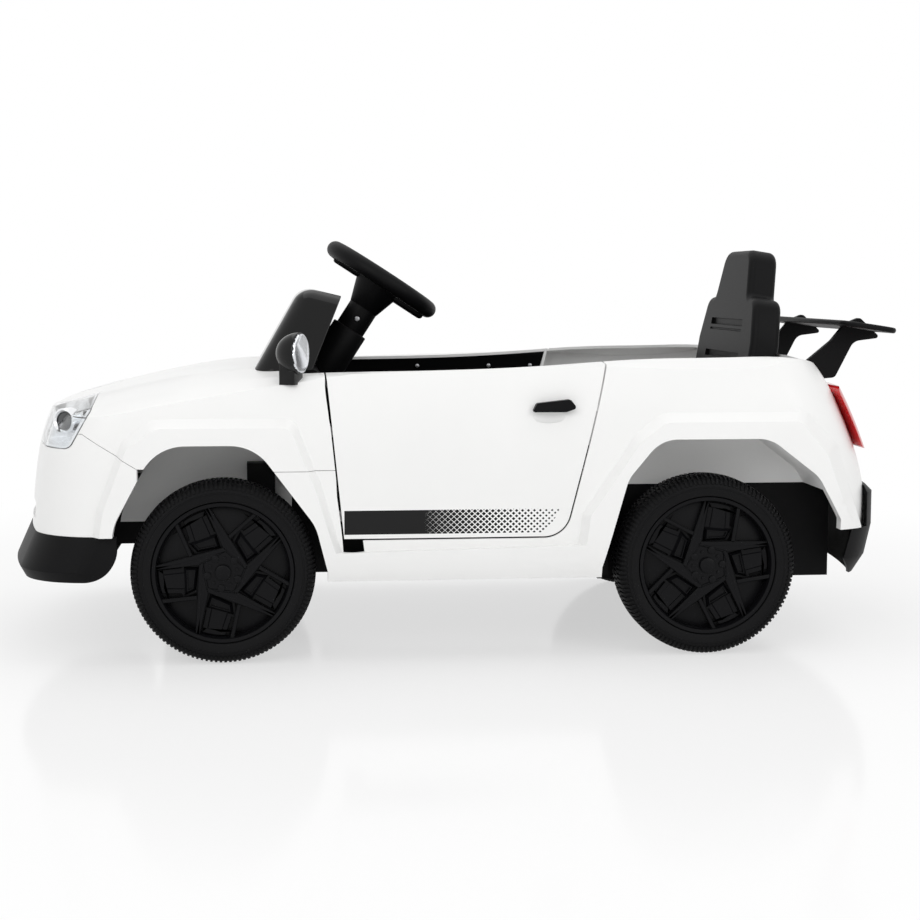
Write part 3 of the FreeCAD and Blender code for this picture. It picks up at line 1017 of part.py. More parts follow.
def wing():
    """A blade on two swan-neck struts that rise from the tail."""
    foot = d.strut_foot_x
    top_x, top_z = d.strut_top_x, d.strut_top_z
    w = d.strut_width
    profile = [(foot - 0.7 * w, d.belt_z - d.wall), (foot + d.wall, d.tail_lamp_high_z + d.wall),
               (foot + w, d.belt_z - w / 2, w / 4), (top_x, top_z - 0.9 * w, w / 2),
               (top_x + 1.2 * w, top_z - 0.75 * w, w / 10), (top_x + w / 4, top_z + d.wall, w / 5),
               (top_x - 0.4 * w, top_z - d.wall, w / 5), (foot + 0.8 * w, d.belt_z + 1.1 * w, 0.6 * w)]
    strut = prism(profile, -d.strut_y - d.strut_thick / 2, -d.strut_y + d.strut_thick / 2).cut(OUTER)
    chord = (d.blade_tail_x - d.blade_front_x) / math.cos(math.radians(d.blade_tilt))
    corner = Vector(-chord / 2, -d.blade_half, -d.blade_thick / 2)
    blade = Part.makeBox(chord, 2 * d.blade_half, d.blade_thick, corner)
    for radius, side in ((d.blade_front_r, -1), (d.blade_tail_r, 1)):
        corners = [e for e in blade.Edges if e.BoundBox.ZLength > 1 and side * e.BoundBox.Center.x > chord / 4]
        blade = blade.makeFillet(radius, corners)
    rim = [e for e in blade.Edges if e.BoundBox.ZLength < 1]
    blade = blade.makeFillet(0.45 * d.blade_thick, rim)
    middle = Vector((d.blade_front_x + d.blade_tail_x) / 2, 0, d.blade_z)
    blade.Placement = FreeCAD.Placement(middle, FreeCAD.Rotation(Y_AXIS, d.blade_tilt))
    for side, sign in SIDES.items():
        placed = on_side(strut, sign)
        sub_part("wing_strut_" + side, placed)
        blade = blade.cut(placed)
    sub_part("wing_blade", blade)


def pedal():
    """A sprung foot pedal that turns on a pin between two ears of its base."""
    floor_z = d.pan_low_z + d.pan_wall
    base_points = [(0, 0), (d.pedal_length, 0), (d.pedal_length, d.pedal_base_high), (0, d.pedal_base_high)]
    plate = padded_body("pedal_plate", base_points, "XZ_Plane", "Sizes.pedal_width + 2 * Sizes.pedal_thick",
                        FreeCAD.Placement(Vector(d.pedal_x, d.pedal_y, floor_z), FreeCAD.Rotation()))
    pin_x = d.pedal_x + d.pedal_length - 3 * d.pedal_pin_r
    pin_z = floor_z + d.pedal_base_high + d.touch_clear + d.pedal_thick / 2
    half = d.pedal_width / 2
    ears = []
    for sign in (-1, 1):
        inner_y = d.pedal_y + sign * (half + d.touch_clear)
        outer_y = d.pedal_y + sign * (half + d.pedal_thick)
        ears.append(box(pin_x - 2 * d.pedal_pin_r, pin_x + 2 * d.pedal_pin_r, min(inner_y, outer_y),
                        max(inner_y, outer_y), floor_z + d.pedal_base_high, pin_z + 2 * d.pedal_pin_r))
    reach = half + d.pedal_thick
    pin_ends = (Vector(pin_x, d.pedal_y - reach, pin_z), Vector(pin_x, d.pedal_y + reach, pin_z))
    sub_part("pedal_base", plate.Shape.fuse(ears).cut(bar(*pin_ends, d.pedal_pin_r + d.running_clear)))
    rise = math.tan(math.radians(d.pedal_rise)) * d.pedal_length
    toe = -d.pedal_length + 3 * d.pedal_pin_r
    low = -d.pedal_thick / 2
    pad_points = [(0, low), (toe, low + rise), (toe, low + rise + d.pedal_thick), (0, low + d.pedal_thick)]
    pad = padded_body("pedal_pad", pad_points, "XZ_Plane", "Sizes.pedal_width",
                      FreeCAD.Placement(Vector(pin_x, d.pedal_y, pin_z), FreeCAD.Rotation()))
    sub_part("accelerator_pedal", pad.Shape.fuse(bar(*pin_ends, d.pedal_pin_r)))


def charge_socket():
    """A blind round socket in the seat's front ledge, facing up."""
    centre = Vector(d.socket_x, -d.socket_y, d.seat_top_z + d.socket_flange)
    barrel = Part.makeCylinder(d.socket_body_r, d.socket_length + d.socket_flange, centre, -Z_AXIS)
    flange = Part.makeCylinder(1.5 * d.socket_body_r, d.socket_flange, centre, -Z_AXIS)
    bore = Part.makeCylinder(d.socket_r, d.socket_depth, centre, -Z_AXIS)
    sub_part("charge_socket", barrel.fuse(flange).cut(bore))


body_shells()
grille()
front_lip()
rear_bumper()
doors()
hinge_pins()
lamps()
floor_pan()
steering()
knuckles()
wheels()
drive()
cowl()
dashboard()
mirrors()
seat_base()
seat_back()
wing()
pedal()
charge_socket()
doc.recompute()

for item in doc.Objects:
    if "Invalid" in item.State or "Error" in item.State:
        raise RuntimeError("%s failed to build: %s" % (item.Label, item.State))
for item in SUB_PARTS:
    if item.Shape.isNull() or not item.Shape.isValid() or not item.Shape.Solids:
        raise RuntimeError("%s has no valid solid" % item.Label)

os.makedirs("parts", exist_ok=True)
whole = FreeCAD.BoundBox()
for item in SUB_PARTS:
    item.Shape.exportStep("parts/%s.step" % item.Label)
    whole.add(item.Shape.BoundBox)
    print("%-22s solids %d  volume %.0f mm3" % (item.Label, len(item.Shape.Solids), item.Shape.Volume))
print("%d sub-parts, X %.1f to %.1f, Y %.1f to %.1f, Z %.1f to %.1f" % (
    len(SUB_PARTS), whole.XMin, whole.XMax, whole.YMin, whole.YMax, whole.ZMin, whole.ZMax))
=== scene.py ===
# %% [markdown]
# # Electric ride-on car: finish, light and camera
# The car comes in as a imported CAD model: every piece at its real size and in its real place.
# This lesson gives each piece the look of the real one. Moulded panels are copies of the solids with
# rounded edges, and the wheels, seat, lamps and controls are modelled again with their fine detail.

# %% Load the car
import json
import math

import bpy
from mathutils import Matrix, Vector


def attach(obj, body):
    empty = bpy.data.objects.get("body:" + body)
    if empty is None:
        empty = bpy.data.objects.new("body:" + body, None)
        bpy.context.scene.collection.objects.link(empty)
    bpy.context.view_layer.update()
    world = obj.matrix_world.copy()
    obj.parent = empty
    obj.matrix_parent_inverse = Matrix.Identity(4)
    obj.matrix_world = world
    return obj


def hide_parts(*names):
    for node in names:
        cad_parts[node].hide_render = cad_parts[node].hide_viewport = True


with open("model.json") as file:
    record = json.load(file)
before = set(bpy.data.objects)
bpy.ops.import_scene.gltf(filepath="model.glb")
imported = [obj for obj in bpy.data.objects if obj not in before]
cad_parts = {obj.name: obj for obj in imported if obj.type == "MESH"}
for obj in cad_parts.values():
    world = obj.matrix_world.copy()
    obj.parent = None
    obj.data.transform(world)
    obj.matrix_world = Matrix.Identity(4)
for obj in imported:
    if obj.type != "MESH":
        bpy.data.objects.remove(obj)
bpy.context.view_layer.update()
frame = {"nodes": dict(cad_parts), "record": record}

MM = 0.001
SIDES = {"left": -1, "right": 1}

# %% [markdown]
# ## Small helpers
# Operators work on whatever is selected, so each step first selects only its own piece. A finished piece
# keeps its place in its mesh, takes its material, and then rides on the CAD body that carries it.


# %% Select, join, place and finish a piece
def only(piece):
    if bpy.context.mode != "OBJECT":
        bpy.ops.object.mode_set(mode="OBJECT")
    bpy.ops.object.select_all(action="DESELECT")
    piece.select_set(True)
    bpy.context.view_layer.objects.active = piece
    return piece


def apply_all(piece):
    only(piece)
    for modifier in list(piece.modifiers):
        bpy.ops.object.modifier_apply(modifier=modifier.name)
    return piece


def settle(piece):
    only(piece)
    bpy.ops.object.transform_apply(location=True, rotation=True, scale=True)
    return piece


def placed(piece, matrix):
    piece.data.transform(matrix)
    if matrix.determinant() < 0:
        piece.data.flip_normals()
    return piece


def joined(pieces, name):
    only(pieces[0])
    for piece in pieces[1:]:
        piece.select_set(True)
    bpy.ops.object.join()
    made = bpy.context.view_layer.objects.active
    made.name = name
    return made


def copied(piece, name):
    twin = bpy.data.objects.new(name, piece.data.copy())
    bpy.context.collection.objects.link(twin)
    return twin


def smooth(piece, degrees=35):
    only(piece)
    bpy.ops.object.shade_smooth_by_angle(angle=math.radians(degrees))
    return piece


def rounded(piece, width_mm, segments=2, degrees=35):
    """Rounds every edge sharper than the angle, as a mould leaves it."""
    bevel = piece.modifiers.new("rounded edges", "BEVEL")
    bevel.width = width_mm * MM
    bevel.segments = segments
    bevel.limit_method = "ANGLE"
    bevel.angle_limit = math.radians(degrees)
    apply_all(piece)
    return smooth(piece, degrees)


def cut(piece, cutter):
    """Takes the cutter's shape out of the piece and removes the cutter."""
    step = piece.modifiers.new("cut", "BOOLEAN")
    step.operation = "DIFFERENCE"
    step.solver = "EXACT"
    step.object = cutter
    apply_all(piece)
    bpy.data.objects.remove(cutter)
    return piece


def finish(piece, name, body, slot, material, *nodes):
    piece.name = name
    piece.data.materials.clear()
    piece.data.materials.append(material)
    for face in piece.data.polygons:
        face.material_index = 0
    if nodes:
        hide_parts(*nodes)
    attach(piece, body)
    return piece


BODY_OF = {n: body for body, nodes in frame["record"]["behaviour"]["bodies"].items() for n in nodes}
SLOT_OF = {s["node"]: s["material_slot"] for s in frame["record"]["subparts"]}

# %% [markdown]
# ## Materials
# Nearly everything here is moulded plastic. What tells one plastic from another is gloss: the white shell is
# polypropylene from a polished mould, the black trim comes from an etched mould with a fine grain, and the
# windscreen surround is ABS with a high polish. Each pattern's size is given in millimetres.


# %% Colours and nodes
# Size of the slow drift in a plastic's colour, and of the faint wear on metals and lenses.
DRIFT, WEAR = 90 * MM, 12 * MM


def linear(hex_colour):
    channels = [int(hex_colour[i:i + 2], 16) / 255 for i in (1, 3, 5)]
    return tuple(c / 12.92 if c <= 0.04045 else ((c + 0.055) / 1.055) ** 2.4 for c in channels) + (1.0,)


def add(tree, kind, inputs=None, **settings):
    """One node: settings are its properties, inputs are socket values or the outputs that feed them."""
    made = tree.nodes.new(kind)
    for key, value in settings.items():
        setattr(made, key, value)
    for socket, value in (inputs or {}).items():
        if isinstance(value, bpy.types.NodeSocket):
            tree.links.new(value, made.inputs[socket])
        else:
            made.inputs[socket].default_value = value
    return made


def moulded_plastic(name, dark, light, roughness, grain_mm, grain_depth_mm, specular=0.1, ior=1.49):
    """Plastic as it leaves a mould: a slight drift in colour and gloss, and the mould's own grain."""
    material = bpy.data.materials.new(name)
    material.use_nodes = True
    tree = material.node_tree
    shader = tree.nodes["Principled BSDF"]
    place = add(tree, "ShaderNodeTexCoord").outputs["Object"]
    drift = add(tree, "ShaderNodeTexNoise", {"Vector": place, "Scale": 1 / DRIFT, "Detail": 3.0})
    grain = add(tree, "ShaderNodeTexNoise", {"Vector": place, "Scale": 1 / (grain_mm * MM), "Detail": 4.0})
    colour = add(tree, "ShaderNodeMix", {"Factor": drift.outputs["Fac"], "A": linear(dark), "B": linear(light)},
                 data_type="RGBA")
    gloss = add(tree, "ShaderNodeMapRange", {"Value": grain.outputs["Fac"], "To Min": roughness * 0.85,
                                             "To Max": min(1.0, roughness * 1.15)})
    bump = add(tree, "ShaderNodeBump", {"Height": grain.outputs["Fac"], "Distance": grain_depth_mm * MM,
                                        "Strength": 0.5})
    tree.links.new(colour.outputs["Result"], shader.inputs["Base Color"])
    tree.links.new(gloss.outputs["Result"], shader.inputs["Roughness"])
    tree.links.new(bump.outputs["Normal"], shader.inputs["Normal"])
    shader.inputs["IOR"].default_value = ior
    shader.inputs["Specular IOR Level"].default_value = specular
    return material


# %% The plastics
# White polypropylene from a polished mould: soft highlights and a faint orange peel.
white_shell = moulded_plastic("white polypropylene", "#F2F2F1", "#F6F6F5", 0.32, 6.0, 0.02, 0.25)
# Black polypropylene from an etched mould: a dull sheen broken by fine grain. Real grain is near 0.3 mm;
# it is drawn coarser.
black_trim = moulded_plastic("etched black polypropylene", "#0B0B0C", "#101011", 0.48, 1.2, 0.08)
# Polished black ABS: mirror-like with a crisp edge to each reflection.
gloss_black = moulded_plastic("polished black ABS", "#040404", "#070708", 0.10, 8.0, 0.01, 0.24, 1.53)
# Blow-moulded tyre plastic: dull and slightly greyer than the trim.
tyre_black = moulded_plastic("blow-moulded tyre plastic", "#0E0E0F", "#141415", 0.58, 1.6, 0.10)
# Satin black wheel plastic, which catches light along its ribs.
wheel_black = moulded_plastic("satin black wheel plastic", "#08080A", "#0E0E10", 0.34, 2.5, 0.04, 0.12)
# Red button plastic and the grey of battery and controller cases.
red_plastic = moulded_plastic("red button ABS", "#9E1512", "#B01A16", 0.28, 4.0, 0.02, 0.5)
grey_case = moulded_plastic("grey case ABS", "#3A3B3D", "#434446", 0.50, 1.5, 0.06)


# %% Metals, lenses and mirror
def plain(name, hex_colour, metallic, roughness, **sockets):
    material = bpy.data.materials.new(name)
    material.use_nodes = True
    tree = material.node_tree
    shader = tree.nodes["Principled BSDF"]
    place = add(tree, "ShaderNodeTexCoord").outputs["Object"]
    wear = add(tree, "ShaderNodeTexNoise", {"Vector": place, "Scale": 1 / WEAR, "Detail": 3.0})
    gloss = add(tree, "ShaderNodeMapRange", {"Value": wear.outputs["Fac"], "To Min": roughness * 0.7,
                                             "To Max": roughness * 1.3})
    tree.links.new(gloss.outputs["Result"], shader.inputs["Roughness"])
    shader.inputs["Base Color"].default_value = linear(hex_colour)
    shader.inputs["Metallic"].default_value = metallic
    for socket, value in sockets.items():
        shader.inputs[socket.replace("_", " ")].default_value = value
    return material


# Zinc-plated steel rod and screws.
zinc_steel = plain("zinc-plated steel", "#9A9B9D", 1.0, 0.32)
# Vacuum-metallised lamp bowl: bright, with slightly soft reflections.
lamp_chrome = plain("metallised reflector", "#F0F1F3", 1.0, 0.22)
# Clear polycarbonate lens.
clear_lens = plain("clear polycarbonate", "#F7F9FA", 0.0, 0.03, Transmission_Weight=1.0, IOR=1.585)
# Red acrylic lens of the tail lamps.
red_lens = plain("red acrylic", "#D8161A", 0.0, 0.08, Transmission_Weight=0.1, IOR=1.49)
# Metallised plastic mirror sheet.
mirror_sheet = plain("metallised mirror sheet", "#E3E5E9", 1.0, 0.24)
# Plated steel motor can.
motor_can = plain("plated motor can", "#6E7073", 1.0, 0.38)
# Light-absorbing lens of the lamp's projector.
dark_glass = plain("smoked projector glass", "#1B2024", 0.0, 0.05, IOR=1.52, Coat_Weight=1.0)
MATERIAL_OF = {"white_shell": white_shell, "black_plastic": black_trim, "gloss_black": gloss_black,
               "tyre_plastic": tyre_black, "rim_plastic": wheel_black, "clear_lens": clear_lens,
               "lamp_chrome": lamp_chrome, "red_lens": red_lens, "mirror_face": mirror_sheet,
               "steel": zinc_steel, "motor_can": motor_can, "grey_case": grey_case, "red_button": red_plastic}
for node, piece in frame["nodes"].items():
    piece.data.materials.clear()
    piece.data.materials.append(MATERIAL_OF[SLOT_OF[node]])
print(len(bpy.data.materials), "materials")

# %% [markdown]
# ## Moulded panels
# A solid from CAD has perfectly sharp edges, and no moulding does. Each panel is a copy of its solid: the loose
# triangles are merged, flat neighbours are joined into whole faces, and every sharp edge is rounded.


# %% Panels and covers
def panel_copy(node):
    piece = copied(frame["nodes"][node], node + "_panel")
    only(piece)
    bpy.ops.object.mode_set(mode="EDIT")
    bpy.ops.mesh.select_all(action="SELECT")
    bpy.ops.mesh.remove_doubles(threshold=0.01 * MM)
    bpy.ops.mesh.dissolve_limited(angle_limit=math.radians(0.5))
    bpy.ops.object.mode_set(mode="OBJECT")
    return piece


def even_normals(piece):
    modifier = piece.modifiers.new("even normals", "WEIGHTED_NORMAL")
    modifier.keep_sharp = True
    return apply_all(piece)


EDGES = {"main_body": 1.2, "hood_cover": 1.2, "front_bumper": 1.0,
         "front_lip": 1.5, "rear_bumper": 1.5, "grille": 0.6, "windscreen_cowl": 1.2, "dashboard": 2.0,
         "seat_base": 1.5, "door_trim_left": 0.8, "door_trim_right": 0.8, "wing_blade": 0.8,
         "wing_strut_left": 1.6, "wing_strut_right": 1.6, "door_handle_left": 1.5, "door_handle_right": 1.5}
for node, width in EDGES.items():
    panel = even_normals(rounded(panel_copy(node), width))
    finish(panel, node + "_panel", BODY_OF[node], SLOT_OF[node], MATERIAL_OF[SLOT_OF[node]], node)
    print(node, len(panel.data.polygons), "faces")

# %% [markdown]
# ## Door stripe
# A black stripe runs along the foot of each door and breaks up into a screen of lozenges towards the tail. It
# is a printed film on the white plastic, so it belongs in the door's material: a band in height and length, and
# a lattice of slanted cells whose black share falls along the car.

# %% White plastic with the printed film
FILM_LOW, FILM_HIGH = 153 * MM, 182 * MM
FILM_FRONT, FILM_REAR = -142 * MM, 94 * MM
FILM_SWEEP, FILM_CURVE = 24 * MM, 0.6
FILM_OUTSIDE = 268 * MM
CELL, CELL_SLANT = 7.2 * MM, 1.1
FADE_FROM, FADE_TO = -57 * MM, 118 * MM
FADE_MOST, FADE_LEAST = 0.52, 0.20
door_white = white_shell.copy()
door_white.name = "white polypropylene with printed film"
tree = door_white.node_tree
shader = tree.nodes["Principled BSDF"]
plain_white = shader.inputs["Base Color"].links[0].from_socket
place = add(tree, "ShaderNodeTexCoord").outputs["Object"]
axes = add(tree, "ShaderNodeSeparateXYZ", {"Vector": place})
along, across, up = (axes.outputs[axis] for axis in "XYZ")
foot = add(tree, "ShaderNodeMapRange", {"Value": up, "From Min": FILM_LOW, "From Max": FILM_HIGH})
corner = add(tree, "ShaderNodeMath", {0: foot.outputs["Result"], 1: FILM_CURVE}, operation="POWER")
rear_end = add(tree, "ShaderNodeMath", {0: corner.outputs["Value"], 1: FILM_SWEEP, 2: FILM_REAR},
               operation="MULTIPLY_ADD")
limits = [(up, "GREATER_THAN", FILM_LOW), (up, "LESS_THAN", FILM_HIGH), (along, "GREATER_THAN", FILM_FRONT),
          (along, "LESS_THAN", rear_end.outputs["Value"])]
outside = add(tree, "ShaderNodeMath", {0: across}, operation="ABSOLUTE")
limits.append((outside.outputs["Value"], "GREATER_THAN", FILM_OUTSIDE))
# The lattice: distance from the middle of a slanted cell, from 0 to 0.5, on each of two slanted axes.
distance = None
for slant in (1, -1):
    slanted = add(tree, "ShaderNodeMath", {0: up, 1: slant * CELL_SLANT, 2: along}, operation="MULTIPLY_ADD")
    cell = add(tree, "ShaderNodeMath", {0: slanted.outputs["Value"], 1: 1 / CELL}, operation="MULTIPLY")
    part = add(tree, "ShaderNodeMath", {0: cell.outputs["Value"]}, operation="FRACT")
    middle = add(tree, "ShaderNodeMath", {0: part.outputs["Value"], 1: 0.5}, operation="SUBTRACT")
    reach = add(tree, "ShaderNodeMath", {0: middle.outputs["Value"]}, operation="ABSOLUTE")
    if distance is None:
        distance = reach.outputs["Value"]
    else:
        distance = add(tree, "ShaderNodeMath", {0: distance, 1: reach.outputs["Value"]},
                       operation="MAXIMUM").outputs["Value"]
share = add(tree, "ShaderNodeMapRange", {"Value": along, "From Min": FADE_FROM, "From Max": FADE_TO,
                                         "To Min": FADE_MOST, "To Max": FADE_LEAST})
film = add(tree, "ShaderNodeMath", {0: distance, 1: share.outputs["Result"]},
           operation="LESS_THAN").outputs["Value"]
for value, test, limit in limits:
    inside = add(tree, "ShaderNodeMath", {0: value, 1: limit}, operation=test)
    film = add(tree, "ShaderNodeMath", {0: film, 1: inside.outputs["Value"]},
               operation="MULTIPLY").outputs["Value"]
printed = add(tree, "ShaderNodeMix", {"Factor": film, "A": plain_white, "B": linear("#0D0D0E")},
              data_type="RGBA")
tree.links.new(printed.outputs["Result"], shader.inputs["Base Color"])
print("door film", len(tree.nodes), "nodes")

# %% [markdown]
# ## Doors
# Each door is a moulded panel like the others, with a shallow finger scoop pressed in below its handle.

# %% Doors with their scoops
SCOOP_HALF = Vector((24, 6, 10)) * MM
SCOOP_X, SCOOP_Y, SCOOP_Z = 104, 278, 294
for side, sign in SIDES.items():
    door = rounded(panel_copy("door_" + side), 1.0)
    bpy.ops.object.select_all(action="DESELECT")
    bpy.ops.mesh.primitive_uv_sphere_add(segments=48, ring_count=24, radius=1)
    scoop = bpy.context.object
    scoop.scale = SCOOP_HALF
    scoop.location = Vector((SCOOP_X, sign * SCOOP_Y, SCOOP_Z)) * MM
    cut(door, settle(scoop))
    finish(even_normals(smooth(door)), "door_%s_panel" % side, side + "_door", "white_shell", door_white,
           "door_" + side)
print("doors done")

# %% [markdown]
# ## Tyres
# A blow-moulded tyre is one hollow ring with its tread moulded in. A torus with a tread texture would be
# quicker, but its outline would stay smooth. Here a drawn section is spun round the axle, and every second face
# of the tread is raised as a lug, so the lugs show along the edge as they do on the real tyre.


# %% Draw, spin and select faces
def drawn(name, points, edges=(), faces=()):
    mesh = bpy.data.meshes.new(name)
    mesh.from_pydata([Vector(p) * MM for p in points], list(edges), list(faces))
    piece = bpy.data.objects.new(name, mesh)
    bpy.context.collection.objects.link(piece)
    return only(piece)


def close_up():
    """In edit mode: joins doubled points and turns every face outwards."""
    bpy.ops.mesh.select_all(action="SELECT")
    bpy.ops.mesh.remove_doubles(threshold=0.002 * MM)
    bpy.ops.mesh.normals_make_consistent(inside=False)
    bpy.ops.object.mode_set(mode="OBJECT")


def spun(name, section, steps):
    """Spins a closed section of (radius, y) points once round the Y axis."""
    count = len(section)
    piece = drawn(name, [(0, y, r) for r, y in section], [(i, (i + 1) % count) for i in range(count)])
    bpy.ops.object.mode_set(mode="EDIT")
    bpy.ops.mesh.select_all(action="SELECT")
    bpy.ops.mesh.spin(steps=steps, angle=math.tau, center=(0, 0, 0), axis=(0, 1, 0))
    close_up()
    return piece


def select_faces(piece, wanted):
    only(piece)
    bpy.ops.object.mode_set(mode="EDIT")
    bpy.ops.mesh.select_mode(type="FACE")
    bpy.ops.mesh.select_all(action="DESELECT")
    bpy.ops.object.mode_set(mode="OBJECT")
    for face in piece.data.polygons:
        face.select = wanted(face)
    bpy.ops.object.mode_set(mode="EDIT")


# %% Spin the section and raise the lugs
LUGS, LUG_RISE = 120, 1.8
TREAD_R, MIDDLE_ROW = 101, 9.5
TYRE_SECTION = [(84.6, -26), (85.4, -28.6), (88, -29.4), (94.4, -30.2), (95, -30.9), (96, -30.9), (96.6, -30.2),
                (99.8, -29.7), (103.2, -28), (105.8, -25.2), (107.4, -20.5), (108.2, -9.5), (108.2, 9.5),
                (107.4, 20.5), (105.8, 25.2), (103.2, 28), (96, 30), (88, 29.4), (84.6, 26)]
tyre = spun("tyre", TYRE_SECTION, 2 * LUGS)


def is_lug(face):
    x, y, z = (v / MM for v in face.center)
    column = int(math.atan2(z, x) % math.tau / math.tau * 2 * LUGS)
    outer = abs(y) > MIDDLE_ROW
    return math.hypot(x, z) > TREAD_R and column % 2 == (0 if outer else 1)


select_faces(tyre, is_lug)
bpy.ops.mesh.extrude_region_shrink_fatten(TRANSFORM_OT_shrink_fatten={"value": LUG_RISE * MM})
bpy.ops.object.mode_set(mode="OBJECT")
smooth(tyre, 30)
print("tyre radius", round(max(math.hypot(v.co.x, v.co.z) for v in tyre.data.vertices) / MM, 2), "mm")

# %% [markdown]
# ## Rims
# The rim is a one-piece moulding: a deep disc carries five forked ribs that run past the hub like a turbine,
# five short ribs, and stepped panels between them. Cutting all this from a disc with booleans would be slow to
# change, so each panel is an outline that is inset and raised step by step.


# %% Stepped plates and the rim
RIM_R, DISC_Y = 84.5, -15
SPOKES, SPOKE_TURN = 5, 72
# Where the ribs of one spoke end: shares of the rim's radius, and angles in degrees.
RIM_SHARE, HUB_SHARE, FORK_SHARE = 0.97, 0.333, 0.505
LONG_AT, SHORT_AT, FORK_AT, NEXT_AT, HUB_AT = 103.6, 60.3, 80.0, 31.6, 11
NUT_SHARE, BOSS_SHARE = 0.225, 0.2


def spot(share, degrees):
    angle = math.radians(degrees)
    return Vector((share * RIM_R * math.cos(angle), share * RIM_R * math.sin(angle)))


def plate(name, outline, y, steps):
    """An outline of (x, z) points facing -Y at that y, then inset and raised by each (inset, rise) step."""
    piece = drawn(name, [(p[0], y, p[1]) for p in outline], faces=[range(len(outline))])
    bpy.ops.object.mode_set(mode="EDIT")
    bpy.ops.mesh.select_all(action="SELECT")
    for inset, rise in steps:
        bpy.ops.mesh.inset(thickness=inset * MM)
        bpy.ops.transform.translate(value=(0, -rise * MM, 0))
    bpy.ops.object.mode_set(mode="OBJECT")
    return piece


def rib(start, end, width):
    side = (end - start).normalized()
    across = Vector((-side.y, side.x)) * width / 2
    corners = [start - across, end - across, end + across, start + across]
    return plate("rib", corners, DISC_Y, [(0.01, 10.0), (0.8, 0.8)])


def peg(name, r, y0, y1, x=0.0, z=0.0, sides=32, edge=0.6):
    bpy.ops.object.select_all(action="DESELECT")
    bpy.ops.mesh.primitive_cylinder_add(vertices=sides, radius=r * MM, depth=(y1 - y0) * MM,
                                        location=(x * MM, (y0 + y1) / 2 * MM, z * MM),
                                        rotation=(math.pi / 2, 0, 0))
    piece = bpy.context.object
    piece.name = name
    settle(piece)
    return rounded(piece, edge)


RIM_SECTION = [(84.4, 29), (84.4, -26.6), (83.6, -27.8), (79.6, -27.4), (78.6, -25.6), (77, -14), (77, 29)]
parts = [spun("barrel", RIM_SECTION, 120), peg("floor", 80, DISC_Y, -9, sides=120), peg("hub", 20, -10, 31)]
for k in range(SPOKES):
    turn = SPOKE_TURN * k
    rim_end, hub_end = spot(RIM_SHARE, LONG_AT + turn), spot(HUB_SHARE, HUB_AT + turn)
    fork, short_end = spot(FORK_SHARE, FORK_AT + turn), spot(RIM_SHARE, SHORT_AT + turn)
    next_rim, next_hub = spot(RIM_SHARE, NEXT_AT + turn), spot(HUB_SHARE, HUB_AT + SPOKE_TURN + turn)
    parts += [rib(rim_end, hub_end, 5.4), rib(rim_end, next_hub, 4.6), rib(fork, short_end, 4.8)]
    parts.append(plate("web", [hub_end, rim_end, next_hub], DISC_Y, [(0.01, 10.0), (0.4, 0.6)]))
    arc = [spot(0.95, a + turn) for a in (57, 52, 46, 40, 35)]
    panel = [fork, hub_end, next_rim] + arc[::-1]
    parts.append(plate("panel", panel, DISC_Y, [(3.5, 0.2), (0.01, 3.2), (0.8, 0.6), (5.0, 0.0), (1.2, 1.0)]))
    raised = [fork.lerp(hub_end, 0.16), fork.lerp(hub_end, 0.94), hub_end.lerp(next_rim, 0.42),
              fork.lerp(short_end, 0.40)]
    parts.append(plate("block", raised, -19, [(2.6, 0.3), (3.4, 5.2), (0.8, 0.0), (0.01, -3.4)]))
hub_corners = [spot(0.36, HUB_AT + SPOKE_TURN * k) for k in range(SPOKES)]
parts.append(plate("hub face", hub_corners, DISC_Y, [(0.01, 8.6), (0.9, 0.9), (2.4, 0.0), (0.8, -1.2)]))
parts.append(peg("cap", 9.5, -28.2, -20, edge=1.6))
for k in range(SPOKES):
    turn = HUB_AT + SPOKE_TURN * k
    nut, boss = spot(NUT_SHARE, turn + SPOKE_TURN / 2), spot(BOSS_SHARE, turn)
    parts.append(peg("nut", 4.4, -25.6, -20, nut.x, nut.y, 24, 0.8))
    parts.append(peg("boss", 2.2, -24.8, -20, boss.x, boss.y, 16, 0.4))
rim = smooth(joined(parts, "rim"), 30)
print("rim", len(rim.data.polygons), "faces")

# %% [markdown]
# ## Four wheels
# The front and rear rims are opposite hands, so the ribs lean the other way at the back. Left wheels are
# mirrored to the right. Each wheel has its own copy of the mesh, moved to its axle.

# %% Copy the wheels to the axles
WHEEL_Y, AXLE_Z = 252, 110
AXLE_X = {"front": -286, "rear": 299}
REAR_TURN = math.radians(-122)
REAR_HAND = Matrix.Rotation(REAR_TURN, 4, "Y") @ Matrix.Scale(-1, 4, (0, 0, 1))
for end, x in AXLE_X.items():
    for side, sign in SIDES.items():
        hand = Matrix() if end == "front" else REAR_HAND
        flip = Matrix.Scale(-sign, 4, (0, 1, 0))
        move = Matrix.Translation(Vector((x, sign * WHEEL_Y, AXLE_Z)) * MM)
        for source, part, slot in ((tyre, "tyre", "tyre_plastic"), (rim, "rim", "rim_plastic")):
            node = "%s_%s_%s" % (part, end, side)
            twin = placed(copied(source, node + "_looks"), move @ flip @ (hand if part == "rim" else Matrix()))
            finish(twin, node + "_looks", BODY_OF[node], slot, MATERIAL_OF[slot], node)
for source in (tyre, rim):
    bpy.data.objects.remove(source)
print("wheels placed")

# %% [markdown]
# ## Steering wheel and column
# The wheel is one moulding on a broad stem. It is built upright about its own axis, where each part is a plain
# primitive, and then leaned back to the column's 33 degrees.


# %% Steering wheel
def turned(name, radius, z0, z1, top_radius=None, sides=64, edge=1.5):
    """A cylinder or cone about the Z axis from z0 to z1."""
    bpy.ops.object.select_all(action="DESELECT")
    bpy.ops.mesh.primitive_cone_add(vertices=sides, radius1=radius * MM, radius2=(top_radius or radius) * MM,
                                    depth=(z1 - z0) * MM, location=(0, 0, (z0 + z1) / 2 * MM))
    piece = bpy.context.object
    piece.name = name
    settle(piece)
    return rounded(piece, edge, 3)


